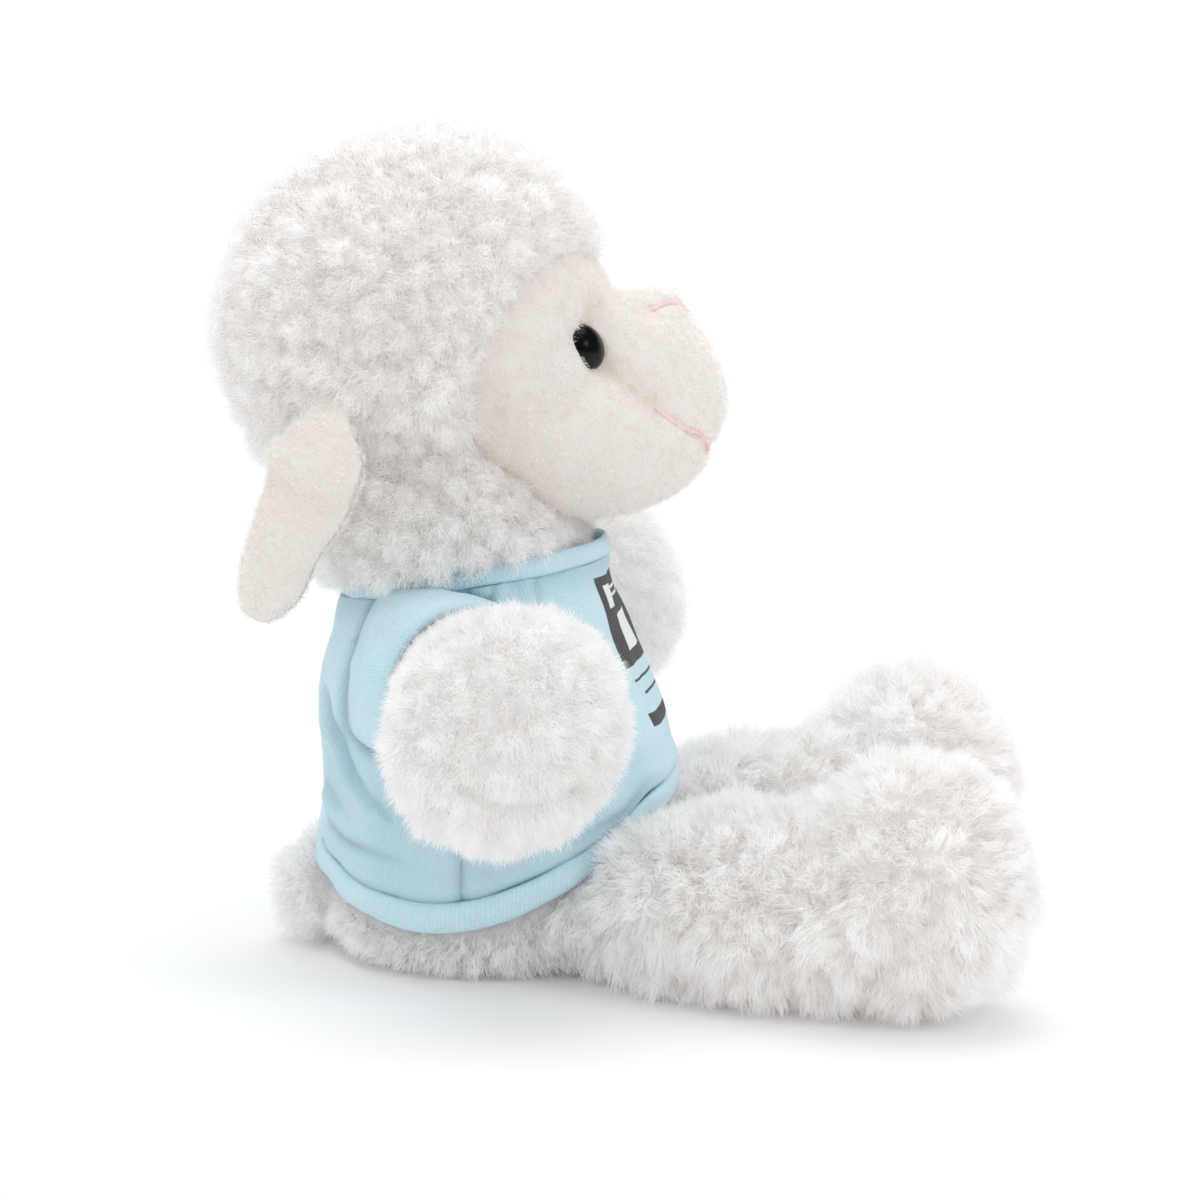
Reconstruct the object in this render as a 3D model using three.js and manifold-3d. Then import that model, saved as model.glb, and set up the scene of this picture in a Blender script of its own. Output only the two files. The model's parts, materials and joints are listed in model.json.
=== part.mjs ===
// A sitting plush lamb in a short-sleeved knitted T-shirt, at its real size in millimetres.
// Z is up, the toy looks along -Y and its own left side is +X. The origin is the middle of the
// flat seat, on the surface that the toy sits on.
//
// Each pile fabric is a skin as thick as its pile, and the stuffing fills it. The head turns at the
// neck seam, and the arms, legs, ears and tail swing at their seams.

import * as THREE from "three";
import { mergeVertices } from "three/addons/utils/BufferGeometryUtils.js";
import Module from "manifold-3d";

const wasm = await Module();
wasm.setup();

// Driving dimensions

const seamGap = 0.4; // between two pieces that are sewn or pressed together
const sitFlat = 0.5; // how deep the floor flattens a soft round form
const woolPile = 8; // hood, limbs and tail
const bodyPile = 4; // torso, pressed down by the shirt
const velourPile = 2.2; // face

const torsoRows = [
  // height, half width, front, back
  [0, 27, -30, 27],
  [3, 34, -38, 33],
  [9, 40, -43, 37],
  [20, 42.5, -45, 38],
  [35, 43, -45.5, 38.3],
  [50, 42, -46, 38.5],
  [62, 40, -43.5, 38.5],
  [75, 36.5, -38, 37],
  [86, 33, -34, 34],
  [95, 30, -31, 31],
  [104, 27, -30, 28],
  [110, 24, -28, 26],
];
const torsoSquareness = 2.2; // 2 would be an ellipse seen from above

const neckSeat = new THREE.Vector3(0, 2, 100.5); // middle of the neck seam
const neckTilt = 9; // degrees that the neck leans back
const neckStubRadius = 19;
const neckStubHeight = 7;
const neckTurn = 20; // degrees either way

const pouchCentre = new THREE.Vector3(0, -3, 9);
const pouchRadii = new THREE.Vector3(24, 24, 10); // its underside lies flat on the seat's skin

const clothEase = 0.5; // between the plush and the shirt
const clothThickness = 1.3;
const foldThickness = 0.9; // what the folded hem and the neckband add
const hemHeight = 7.5;
const neckbandHeight = 5;
const sideSeamY = -2;
const hemLine = [
  // distance from front to back, height of the shirt's lower edge
  [-62, 50],
  [-46, 37.5],
  [-33, 28],
  [-17, 19],
  [8, 13.5],
  [26, 17],
  [42, 24],
  [60, 33],
];

const skullCentre = new THREE.Vector3(0, 17, 157);
const skullRadii = new THREE.Vector3(46, 48.5, 47.5);
const napeCentre = new THREE.Vector3(0, 8, 112);
const napeRadii = new THREE.Vector3(38.5, 37, 34);
const crownCentre = new THREE.Vector3(0, 5.5, 166.5); // the full crown that ends in a fringe
const crownRadii = new THREE.Vector3(37, 36, 38.5);
const hoodHeart = new THREE.Vector3(0, 12, 140); // inside all lobes of the hood

const faceHeart = new THREE.Vector3(0, -10, 146); // inside all lobes of the face
const browLobe = { centre: new THREE.Vector3(0, 11, 152), radii: new THREE.Vector3(40, 47, 41) };
const jawLobe = { centre: new THREE.Vector3(0, -25, 132), radii: new THREE.Vector3(31, 33, 22.5) };
const muzzleLobe = { centre: new THREE.Vector3(0, -33, 140), radii: new THREE.Vector3(21, 28, 26.5) };
const lobeBlend = 7; // how softly one lobe runs into the next
const noseTip = new THREE.Vector3(0, -46, 164.5);
const noseBump = { height: 2.6, width: 9 };

// Two round openings for the cheeks and one for the chin, joined, let the face out of the hood.
const cheekOpening = { centre: new THREE.Vector3(18, -42, 146), radii: new THREE.Vector3(33, 45, 35) };
const chinOpening = { centre: new THREE.Vector3(0, -42, 132), radii: new THREE.Vector3(39, 46, 28.5) };

const eyeRadius = 6;
const eyeHeight = 4.6;
const eyeTowards = new THREE.Vector3(21.5, -20.5, 8.5).normalize(); // from the face's heart, on the left
const eyeLook = new THREE.Vector3(0.36, -0.84, 0.4).normalize(); // the way that the left eye faces
const eyeSink = 1.2; // how deep the eye sits in the velour
const eyeStemRadius = 1.7;
const eyeStemLength = 13;
const washerRadius = 6.5;
const washerThickness = 1.4;
const washerDepth = 5.6; // from the face's surface to the washer

const earRoot = new THREE.Vector3(41, 29, 141); // of the left ear
const earThickness = 2.2; // each of its two panels
const earTurn = 16; // degrees that the ear's front edge stands out, along the side of the head
const earPocketEase = 1.4; // round the ear's root, where it turns in the hood
const earRows = [
  // distance out, back and down from the root, then the ear's width there and how far its rims curl
  [-1.2, -0.4, 1.5, 8, 0.4],
  [2.5, 0.2, -2.6, 12, 0.8],
  [5.4, 1, -7.2, 20, 2],
  [7.6, 2, -13.4, 26, 3.2],
  [8.2, 4.8, -22, 24.5, 2.6],
  [7.8, 8.8, -31.2, 21.5, 2],
  [7.2, 13, -40, 18, 1.6],
  [6.6, 16.2, -46.5, 13.5, 1.1],
  [6.2, 18, -50.2, 6, 0.5],
];

const shoulder = new THREE.Vector3(48.5, -3, 76.5); // of the left arm
const armForward = { right: 34, left: 33 }; // degrees that each arm points to the front
const armLift = { right: -16, left: 11 }; // degrees that each arm lies above level
const armReach = [-24, 20]; // degrees below and above level that an arm swings
const armNeckRadius = 18.2;
const armNeckEnd = 24; // degrees past the neck's widest place, where the swell begins
const armMouth = 6.4; // from the shoulder back to the open end of the arm's skin
const armRows = [
  // radius, distance from the shoulder
  [20.6, 11.4],
  [25.4, 14.6],
  [29, 19.3],
  [31, 25.5],
  [30.4, 32.8],
  [26.8, 40],
  [19, 46.6],
  [9, 50.5],
];
const armTip = 51.5;
const sleeveDepth = 18; // from the cuff back to the armhole
const armholeWidth = 23.5; // half of it, as is the height
const armholeHeight = 21;
const armholeDrop = 2.5; // from the cuff's middle to the armhole's
const cuffClearance = 0.6;
const armholeLap = 2; // how far the armhole's edge runs inside the sleeve

const hip = new THREE.Vector3(24, -30, 17); // of the left leg
const legReach = 85.5; // level, from the hip to the middle of the foot
const legSplay = { right: 19, left: 26 }; // degrees that each leg points outwards
const legSwing = [-8, 14]; // degrees inwards and outwards
const footRadii = new THREE.Vector3(27, 28.5, 33);
const footTilt = 8; // degrees that the toes lean to the front
const legRows = [
  // radius, share of the way from the hip to the foot
  [17.5, 0.1],
  [20.5, 0.17],
  [25, 0.34],
  [26.5, 0.56],
  [25, 0.8],
  [18, 1],
];
const hipRadius = 17;
const legEase = 0.4; // more room where a leg turns in the torso

const tailRoot = new THREE.Vector3(0, 36, 14.5);
const tailLength = 5.5; // from the root to the middle of the tail
const tailRadii = new THREE.Vector3(13.5, 12.5, 14);
const tailMouthRadius = 3; // of the skin's opening towards the torso
const tailWag = 15; // degrees either way

const outerSides = 24; // corners round the body, the neck and the shirt
const limbSides = 18; // round an arm or a leg
const roomSides = 12; // round the room that a leg needs in the torso
const innerSides = 8; // and round what lies inside
const eyeSides = 16;
const degree = Math.PI / 180;
const sliver = 0.06; // facets flatter than this are merged
const right = -1;
const left = 1;
const upwards = new THREE.Vector3(0, 0, 1);

// Materials

const finish = (color, roughness, metalness = 0) => ({ color, roughness, metalness });
const wool = finish(0xf3f2f2, 0.95);
const velour = finish(0xf1ebe4, 0.9);
const filling = finish(0xfafafa, 1);
const knit = finish(0xc3e0ec, 0.85);
const gloss = finish(0x0c0c0d, 0.08);
const nylon = finish(0xe6e6e2, 0.5);
const ticking = finish(0xe9e4d8, 0.9);

// Solids

function solidFrom(geometry) {
  const bare = geometry.clone();
  bare.deleteAttribute("normal");
  bare.deleteAttribute("uv");
  const merged = mergeVertices(bare, 1e-4);
  const mesh = new wasm.Mesh({
    numProp: 3,
    vertProperties: Float32Array.from(merged.attributes.position.array),
    triVerts: Uint32Array.from(merged.index.array),
  });
  return new wasm.Manifold(mesh);
}

function meshFrom(name, solid, look) {
  const { vertProperties, triVerts } = solid.simplify(sliver).getMesh();
  const geometry = new THREE.BufferGeometry();
  geometry.setAttribute("position", new THREE.BufferAttribute(Float32Array.from(vertProperties), 3));
  geometry.setIndex(new THREE.BufferAttribute(Uint32Array.from(triVerts), 1));
  geometry.computeVertexNormals();
  const mesh = new THREE.Mesh(geometry, new THREE.MeshStandardMaterial(look));
  mesh.name = name;
  return mesh;
}

const largest = (solid) => solid.decompose().sort((a, b) => b.volume() - a.volume())[0];
const moved = (solid, offset) => solid.translate([offset.x, offset.y, offset.z]);

// A solid turned about an axis through a point.
function turned(solid, pivot, axis, degrees) {
  const matrix = new THREE.Matrix4().makeTranslation(pivot.x, pivot.y, pivot.z);
  matrix.multiply(new THREE.Matrix4().makeRotationAxis(axis, degrees * degree));
  matrix.multiply(new THREE.Matrix4().makeTranslation(-pivot.x, -pivot.y, -pivot.z));
  return solid.transform(matrix.elements);
}

// A solid of the whole part, seen from inside a group.
function seenFrom(group, solid) {
  group.updateMatrix();
  return solid.transform(group.matrix.clone().invert().elements);
}

// A closed skin over rings of equally many points, from the first ring to the last.
function loft(rings) {
  const count = rings[0].length;
  const points = rings.flat();
  const faces = [];
  rings.slice(1).forEach((_, row) => {
    for (let i = 0; i < count; i++) {
      const a = row * count + i;
      const b = row * count + ((i + 1) % count);
      faces.push(a, b, b + count, a, b + count, a + count);
    }
  });
  const middle = (ring) => ring.reduce((sum, p) => sum.add(p), new THREE.Vector3()).divideScalar(count);
  const first = points.push(middle(rings[0])) - 1;
  const last = points.push(middle(rings.at(-1))) - 1;
  const top = (rings.length - 1) * count;
  for (let i = 0; i < count; i++) {
    const next = (i + 1) % count;
    faces.push(first, next, i, last, top + i, top + next);
  }
  const geometry = new THREE.BufferGeometry().setFromPoints(points);
  geometry.setIndex(faces);
  return solidFrom(geometry);
}

// A closed form whose surface lies at radiusAt(direction) from its heart.
function blob(heart, radiusAt, fineness) {
  const geometry = new THREE.IcosahedronGeometry(1, fineness);
  const position = geometry.getAttribute("position");
  const direction = new THREE.Vector3();
  for (let i = 0; i < position.count; i++) {
    direction.fromBufferAttribute(position, i).normalize();
    const radius = radiusAt(direction);
    position.setXYZ(i, ...direction.clone().multiplyScalar(radius).add(heart));
  }
  return solidFrom(geometry);
}

function ellipsoid(centre, radii, fineness) {
  const geometry = new THREE.IcosahedronGeometry(1, fineness);
  geometry.scale(radii.x, radii.y, radii.z);
  geometry.translate(centre.x, centre.y, centre.z);
  return solidFrom(geometry);
}

// How far a ray from a point inside an ellipsoid runs to its surface.
function rayToEllipsoid(heart, direction, centre, radii) {
  const from = heart.clone().sub(centre).divide(radii);
  const along = direction.clone().divide(radii);
  const a = along.dot(along);
  const b = from.dot(along);
  const c = from.dot(from) - 1;
  return (-b + Math.sqrt(b * b - a * c)) / a;
}

// The larger of two lengths, with a soft change from one to the other.
function softMax(p, q, softness) {
  const closeness = Math.max(softness - Math.abs(p - q), 0) / softness;
  return Math.max(p, q) + (closeness * closeness * softness) / 4;
}

const shrunk = (radii, by) => radii.clone().subScalar(by);

function slab(width, depth, height, centre) {
  const geometry = new THREE.BoxGeometry(width, depth, height);
  geometry.translate(centre.x, centre.y, centre.z);
  return solidFrom(geometry);
}

// A round solid about +Y, from rows of radius and distance.
function lathe(rows, sides) {
  const outline = rows.map(([radius, along]) => new THREE.Vector2(radius, along));
  return solidFrom(new THREE.LatheGeometry(outline, sides));
}

// A round solid that points from one place to another, with its rows measured from the first place.
function latheTowards(rows, sides, from, direction) {
  const turn = new THREE.Quaternion().setFromUnitVectors(new THREE.Vector3(0, 1, 0), direction);
  const matrix = new THREE.Matrix4().compose(from, turn, new THREE.Vector3(1, 1, 1));
  return lathe(rows, sides).transform(matrix.elements);
}

const wide = 400; // reaches past the toy on every side
const floorCut = slab(wide, wide, wide, new THREE.Vector3(0, 0, -wide / 2));
const sideName = (side) => (side === right ? "right" : "left");
const onSide = (place, side) => new THREE.Vector3(place.x * side, place.y, place.z);

// Neck: the seam's plane, its axis and what lies above and below it

const neckAxis = new THREE.Vector3(0, Math.sin(neckTilt * degree), Math.cos(neckTilt * degree));

function neckLayer(from, to, radius) {
  const rows = [
    [0, from],
    [radius, from],
    [radius, to],
    [0, to],
  ];
  return latheTowards(rows, outerSides, neckSeat, neckAxis);
}

const aboveNeck = neckLayer(0, wide, wide);
const belowNeck = neckLayer(-wide, seamGap, wide);

// Torso

function torsoRing([height, halfWidth, front, back], grow, sides) {
  const middle = (front + back) / 2;
  const halfDepth = (back - front) / 2;
  const power = 2 / torsoSquareness;
  const spread = (value) => Math.sign(value) * Math.abs(value) ** power;
  return Array.from({ length: sides }, (_, i) => {
    const angle = (i / sides) * 2 * Math.PI;
    const x = (halfWidth + grow) * spread(Math.cos(angle));
    const y = middle + (halfDepth + grow) * spread(Math.sin(angle));
    return new THREE.Vector3(x, y, height);
  });
}

// The torso's form, grown or shrunk all round, which reaches past the neck seam.
function torsoForm(grow) {
  const rings = torsoRows.map((row) => torsoRing(row, grow, outerSides));
  rings[0].forEach((point) => (point.z -= grow));
  return loft(rings);
}

// A plainer form of what fills the torso.
function torsoCore(gap) {
  const rows = torsoRows.filter((_, i) => i % 2 === 0);
  const rings = rows.map((row) => torsoRing(row, -bodyPile - gap, innerSides));
  rings[0].forEach((point) => (point.z += bodyPile + gap));
  return loft(rings).subtract(neckLayer(-bodyPile - gap, wide, wide));
}

const clothInside = clothEase;
const clothOutside = clothEase + clothThickness;
const foldOutside = clothOutside + foldThickness;

function buildTorso() {
  const stub = neckLayer(-woolPile, neckStubHeight, neckStubRadius);
  const sweep = [legSwing[0], legMiddle, legSwing[1]];
  const outer = withLegRoom(torsoForm(0), seamGap + legEase, roomSides, sweep).subtract(aboveNeck).add(stub);
  // What fills the torso stays clear of the legs by the most that they move there, in one cut.
  const swayed = woolPile * Math.sin((legSwing[1] - legMiddle) * degree) + 2 * (seamGap + legEase);
  const throat = neckStubRadius - bodyPile;
  const hollow = torsoCore(0).add(neckLayer(-woolPile, wide, throat));
  const inner = torsoCore(seamGap).add(neckLayer(-woolPile, neckStubHeight, throat - seamGap));
  const seat = moved(floorCut, new THREE.Vector3(0, 0, bodyPile + seamGap));
  const pouch = ellipsoid(pouchCentre, pouchRadii, 2).subtract(seat);
  const pocket = ellipsoid(pouchCentre, shrunk(pouchRadii, -seamGap), 2);
  return [
    meshFrom("torso_skin", outer.subtract(hollow), wool),
    meshFrom("torso_stuffing", withLegRoom(inner, swayed, innerSides, [legMiddle]).subtract(pocket), filling),
    meshFrom("bean_pouch", withLegRoom(pouch, swayed, innerSides, [legMiddle]), ticking),
  ];
}

// Shirt

// Everything below the shirt's lower edge, or below a line that lies higher by raise.
function belowHem(raise) {
  const line = new THREE.SplineCurve(hemLine.map(([y, z]) => new THREE.Vector2(y, z + raise)));
  const outline = new THREE.Shape(line.getPoints(16));
  const [back, front] = [hemLine.at(-1)[0], hemLine[0][0]];
  outline.lineTo(back, -wide / 4);
  outline.lineTo(front, -wide / 4);
  const geometry = new THREE.ExtrudeGeometry(outline, { depth: wide, bevelEnabled: false });
  geometry.translate(0, 0, -wide / 2);
  // The outline was drawn in X and Y and pushed along Z; here it stands in Y and Z, along X.
  const stand = new THREE.Matrix4().makeBasis(
    new THREE.Vector3(0, 1, 0),
    new THREE.Vector3(0, 0, 1),
    new THREE.Vector3(1, 0, 0),
  );
  geometry.applyMatrix4(stand);
  return solidFrom(geometry);
}

function armDirection(side, lift) {
  const forward = armForward[sideName(side)] * degree;
  const level = Math.cos(lift * degree);
  return new THREE.Vector3(
    side * Math.cos(forward) * level,
    -Math.sin(forward) * level,
    Math.sin(lift * degree),
  );
}

const sleeveDirection = (side) => armDirection(side, (armReach[0] + armReach[1]) / 2);

// The sleeve's funnel from the armhole out to the cuff and past it, filled, with its wall's inside at
// some depth inward. It is drawn along +Y and then turned to point as the arm does.
function sleeveSolid(side, inward, past) {
  const cuff = armNeckRadius + cuffClearance + clothThickness;
  const flare = [
    // share of the way to the armhole's size, and to its depth
    [1.04, 1.6],
    [1, 1],
    [0.72, 0.6],
    [0.32, 0.26],
    [0, 0],
  ];
  const rings = flare.map(([share, deep]) => {
    const halfWidth = cuff + (armholeWidth - cuff) * share - inward;
    const halfHeight = cuff + (armholeHeight - cuff) * share - inward;
    return Array.from({ length: outerSides }, (_, i) => {
      const angle = (i / outerSides) * 2 * Math.PI;
      const z = halfHeight * Math.sin(angle) - armholeDrop * share;
      return new THREE.Vector3(halfWidth * Math.cos(angle), -sleeveDepth * deep, z);
    });
  });
  if (past > 0) {
    rings.push(rings.at(-1).map((point) => new THREE.Vector3(point.x, past, point.z)));
  }
  const along = sleeveDirection(side);
  const across = along.clone().cross(upwards).normalize();
  const upright = across.clone().cross(along);
  const matrix = new THREE.Matrix4().makeBasis(across, along, upright);
  matrix.setPosition(onSide(shoulder, side));
  return loft(rings.map((ring) => ring.reverse())).transform(matrix.elements);
}

const shirtEnvelope = torsoForm(foldOutside + seamGap).subtract(aboveNeck).subtract(belowHem(-seamGap));

function buildShirt() {
  const bodyCloth = torsoForm(clothOutside).subtract(torsoForm(clothInside)).subtract(aboveNeck);
  const foldCloth = torsoForm(foldOutside).subtract(torsoForm(clothInside)).subtract(aboveNeck);
  const armholes = [right, left].map((side) => sleeveSolid(side, clothThickness + armholeLap, wide));
  const neckbandDrop = neckLayer(-neckbandHeight, wide, wide);
  const neckbandEdge = neckLayer(-neckbandHeight - seamGap, wide, wide);

  const cloth = bodyCloth
    .subtract(belowHem(hemHeight + seamGap))
    .subtract(neckbandEdge)
    .subtract(armholes[0])
    .subtract(armholes[1]);
  const depth = wide / 2;
  const seamHalf = seamGap / 2;
  const frontHalf = slab(wide, depth, wide, new THREE.Vector3(0, sideSeamY - seamHalf - depth / 2, 0));
  const backHalf = slab(wide, depth, wide, new THREE.Vector3(0, sideSeamY + seamHalf + depth / 2, 0));
  const hem = foldCloth.intersect(belowHem(hemHeight)).subtract(belowHem(0));
  const neckband = foldCloth.intersect(neckbandDrop);

  const meshes = [
    meshFrom("shirt_front", cloth.intersect(frontHalf), knit),
    meshFrom("shirt_back", cloth.intersect(backHalf), knit),
    meshFrom("shirt_hem", hem, knit),
    meshFrom("shirt_neckband", neckband, knit),
  ];
  const underSleeve = torsoForm(clothOutside + seamGap);
  const neckbandRoom = torsoForm(foldOutside + seamGap).intersect(neckbandEdge);
  for (const side of [right, left]) {
    const tube = sleeveSolid(side, 0, 0)
      .subtract(sleeveSolid(side, clothThickness, wide))
      .subtract(underSleeve)
      .subtract(neckbandRoom);
    meshes.push(meshFrom(`shirt_sleeve_${sideName(side)}`, largest(tube), knit));
  }
  return meshes;
}

// Head

const woolRadius = (grow) => (direction) => {
  const skull = rayToEllipsoid(hoodHeart, direction, skullCentre, shrunk(skullRadii, -grow));
  const nape = rayToEllipsoid(hoodHeart, direction, napeCentre, shrunk(napeRadii, -grow));
  const crown = rayToEllipsoid(hoodHeart, direction, crownCentre, shrunk(crownRadii, -grow));
  return softMax(softMax(skull, nape, lobeBlend), crown, lobeBlend);
};

const faceRadius = (grow) => (direction) => {
  const [brow, jaw, muzzle] = [browLobe, jawLobe, muzzleLobe].map(({ centre, radii }) =>
    rayToEllipsoid(faceHeart, direction, centre, radii),
  );
  const round = softMax(softMax(brow, jaw, lobeBlend), muzzle, lobeBlend / 2);
  const distance = direction.clone().multiplyScalar(round).add(faceHeart).distanceTo(noseTip);
  return round + grow + noseBump.height * Math.exp(-((distance / noseBump.width) ** 2));
};

// The opening in the hood that shows the face: heart-shaped on top, where a fringe hangs down.
function faceOpening(grow) {
  const grown = (radii) => shrunk(radii, -grow);
  const cheek = (side) => ellipsoid(onSide(cheekOpening.centre, side), grown(cheekOpening.radii), 3);
  const chin = ellipsoid(chinOpening.centre, grown(chinOpening.radii), 3);
  return cheek(right).add(cheek(left)).add(chin);
}

function eyeParts(side) {
  const look = onSide(eyeLook, side);
  const towards = onSide(eyeTowards, side);
  const seat = towards.clone().multiplyScalar(faceRadius(0)(towards)).add(faceHeart);
  seat.addScaledVector(look, -eyeSink);
  const dome = (grow, deep) => {
    const steps = [1, 0.8, 0.6, 0.4, 0.2];
    const curve = steps.map((share) => {
      const angle = (1 - share) * 90 * degree;
      return [(eyeRadius + grow) * Math.cos(angle), (eyeHeight + grow) * Math.sin(angle)];
    });
    return [[0, -deep], [eyeRadius + grow, -deep], ...curve, [0, eyeHeight + grow]];
  };
  const stem = (grow, length) => [
    [0, -length],
    [eyeStemRadius + grow, -length],
    [eyeStemRadius + grow, 0.5],
    [0, 0.5],
  ];
  const disc = (radius, from, to) => [
    [0, from],
    [radius, from],
    [radius, to],
    [0, to],
  ];
  const placed = (rows, sides = eyeSides) => latheTowards(rows, sides, seat, look);
  const washerTop = eyeSink - washerDepth;
  const washerFoot = washerTop - washerThickness;
  const stemSides = innerSides;
  return {
    eye: placed(dome(0, 1)).add(placed(stem(0, eyeStemLength), stemSides)),
    room: placed(dome(seamGap, 1 + seamGap)).add(placed(stem(seamGap, eyeStemLength + 1), stemSides)),
    washer: placed(disc(washerRadius, washerFoot, washerTop)).subtract(
      placed(stem(seamGap / 2, eyeStemLength * 2), stemSides),
    ),
    pocket: placed(disc(washerRadius + seamGap, washerFoot - seamGap, 2)),
  };
}

function buildHead() {
  const stubRoom = neckLayer(-wide, neckStubHeight + seamGap, neckStubRadius + seamGap);
  const coreOf = (gap) =>
    ellipsoid(skullCentre, shrunk(skullRadii, woolPile + gap), 2)
      .add(ellipsoid(napeCentre, shrunk(napeRadii, woolPile + gap), 2))
      .add(blob(faceHeart, faceRadius(-velourPile - gap), 3));
  const core = coreOf(seamGap);
  const lining = coreOf(0);
  const earPockets = [right, left].map((side) => earPocket(side));
  const eyes = [right, left].map((side) => eyeParts(side));

  const hood = blob(hoodHeart, woolRadius(0), 5)
    .subtract(lining)
    .subtract(faceOpening(seamGap))
    .subtract(belowNeck)
    .subtract(earPockets[0])
    .subtract(earPockets[1]);
  let face = blob(faceHeart, faceRadius(0), 6).intersect(faceOpening(0)).subtract(lining);
  let stuffing = core.subtract(belowNeck).subtract(stubRoom);
  const meshes = [];
  eyes.forEach(({ eye, room, washer, pocket }, i) => {
    face = face.subtract(room);
    stuffing = stuffing.subtract(pocket).subtract(room);
    const name = sideName([right, left][i]);
    meshes.push(meshFrom(`eye_${name}`, eye, gloss), meshFrom(`eye_washer_${name}`, washer, nylon));
  });
  meshes.push(
    meshFrom("head_hood", largest(hood), wool),
    meshFrom("face_panel", largest(face), velour),
    meshFrom("head_stuffing", largest(stuffing), filling),
  );
  return meshes;
}

// Ears

function earPocket(side) {
  const half = earRows[0][3] / 2 + earPocketEase;
  const radius = earThickness + earPocketEase;
  const rows = [
    [0, -half],
    [radius, -half],
    [radius, half],
    [0, half],
  ];
  const hinge = new THREE.Vector3(0, 1, 0).applyAxisAngle(upwards, side * earTurn * degree);
  return latheTowards(rows, innerSides, onSide(earRoot, side), hinge);
}

// One panel of an ear, measured from its root: layer 1 is the outer one, -1 the one by the head.
function earPanel(side, layer) {
  const points = 7;
  const rows = earRows.map(([out, back, down]) => new THREE.Vector3(side * out, back, down));
  const rings = earRows.map(([, , , width, curl], i) => {
    const ahead = rows[Math.min(i + 1, rows.length - 1)];
    const behind = rows[Math.max(i - 1, 0)];
    const along = ahead.clone().sub(behind).normalize();
    const across = new THREE.Vector3(0, 1, 0).cross(along).cross(along).normalize();
    const outward = across.clone().cross(along).normalize();
    if (outward.x * side < 0) outward.negate();
    const edge = (share, depth) => {
      const lens = Math.sqrt(1 - (share * share) ** 1.6) * depth;
      const sag = -curl * share * share;
      return rows[i]
        .clone()
        .addScaledVector(across, (share * width) / 2)
        .addScaledVector(outward, sag + layer * (seamGap / 2 + lens));
    };
    const shares = Array.from({ length: points }, (_, k) => -1 + (2 * k) / (points - 1));
    const middle = shares.map((share) => edge(share, 0));
    const surface = shares
      .slice(1, -1)
      .reverse()
      .map((share) => edge(share, earThickness));
    return [...middle, ...surface];
  });
  const solid = loft(rings);
  return solid.volume() > 0 ? solid : loft(rings.map((ring) => [...ring].reverse()));
}

function buildEar(side) {
  const group = new THREE.Group();
  group.position.copy(onSide(earRoot, side));
  group.rotation.z = side * earTurn * degree;
  const name = sideName(side);
  group.add(
    meshFrom(`ear_${name}_outer`, earPanel(side, 1), velour),
    meshFrom(`ear_${name}_lining`, earPanel(side, -1), velour),
  );
  return group;
}

// Cuts from a solid what comes near a body as the group swings about its own origin.
function trimmer(group, body, axis, [from, to]) {
  const steps = 3;
  const swept = Array.from({ length: steps + 1 }, (_, i) => {
    const angle = from + ((to - from) * i) / steps;
    return seenFrom(group, turned(body, group.position, axis, -angle));
  });
  return (solid) => swept.reduce((rest, cutter) => rest.subtract(cutter), solid);
}

// Arms

function armForm(grow, sides) {
  const steps = 4;
  const ball = Array.from({ length: steps + 1 }, (_, i) => {
    const angle = (-90 + (i * (90 + armNeckEnd)) / steps) * degree;
    return [(armNeckRadius + grow) * Math.cos(angle), (armNeckRadius + grow) * Math.sin(angle)];
  });
  ball[0][0] = 0;
  const shorter = (armTip + grow) / armTip;
  const swell = armRows.map(([radius, along]) => [Math.max(radius + grow, 1), along * shorter]);
  return lathe([...ball, ...swell, [0, armTip + grow]], sides);
}

function buildArm(side) {
  const name = sideName(side);
  const lift = armLift[name];
  const group = new THREE.Group();
  group.position.copy(onSide(shoulder, side));
  group.quaternion.setFromUnitVectors(new THREE.Vector3(0, 1, 0), armDirection(side, lift));
  const swingAxis = new THREE.Vector3(0, -side, 0); // turns the arm upwards
  const sleeve = sleeveSolid(side, -seamGap, seamGap).subtract(
    sleeveSolid(side, clothThickness + seamGap, wide),
  );
  const range = armReach.map((angle) => angle - lift);
  const trim = trimmer(group, shirtEnvelope.add(sleeve), swingAxis, range);
  const mouth = slab(wide, wide, wide, new THREE.Vector3(0, -wide / 2 - armMouth, 0));
  const hollow = armForm(-woolPile, innerSides);
  const skin = trim(armForm(0, limbSides)).subtract(hollow).subtract(mouth);
  const stuffing = trim(armForm(-woolPile - seamGap, innerSides)).subtract(mouth);
  group.add(
    meshFrom(`arm_${name}_skin`, skin, wool),
    meshFrom(`arm_${name}_stuffing`, stuffing, filling),
  );
  return group;
}

// Legs

// A leg that points to the front with its foot upturned, measured from the hip.
function legForm(grow, sides) {
  const footHeight = footRadii.z - sitFlat;
  const heelHeight = legRows.at(-3)[0] - sitFlat;
  const heel = new THREE.Vector3(0, -legReach, heelHeight - hip.z);
  const rows = [[0, -hipRadius - grow], [(hipRadius + grow) * 0.8, -(hipRadius + grow) * 0.6]];
  rows.push([hipRadius + grow, 0]);
  rows.push(...legRows.map(([radius, share]) => [radius + grow, share * heel.length()]));
  rows.push([0, rows.at(-1)[1]]);
  const shank = latheTowards(rows, sides, new THREE.Vector3(), heel.clone().normalize());
  const foot = ellipsoid(new THREE.Vector3(), shrunk(footRadii, -grow), Math.round(sides / 6));
  const tilted = turned(foot, new THREE.Vector3(), new THREE.Vector3(1, 0, 0), footTilt);
  return shank.add(moved(tilted, new THREE.Vector3(0, -legReach, footHeight - hip.z)));
}

function legGroup(side) {
  const group = new THREE.Group();
  group.position.copy(onSide(hip, side));
  group.rotation.z = side * legSplay[sideName(side)] * degree;
  return group;
}

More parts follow.
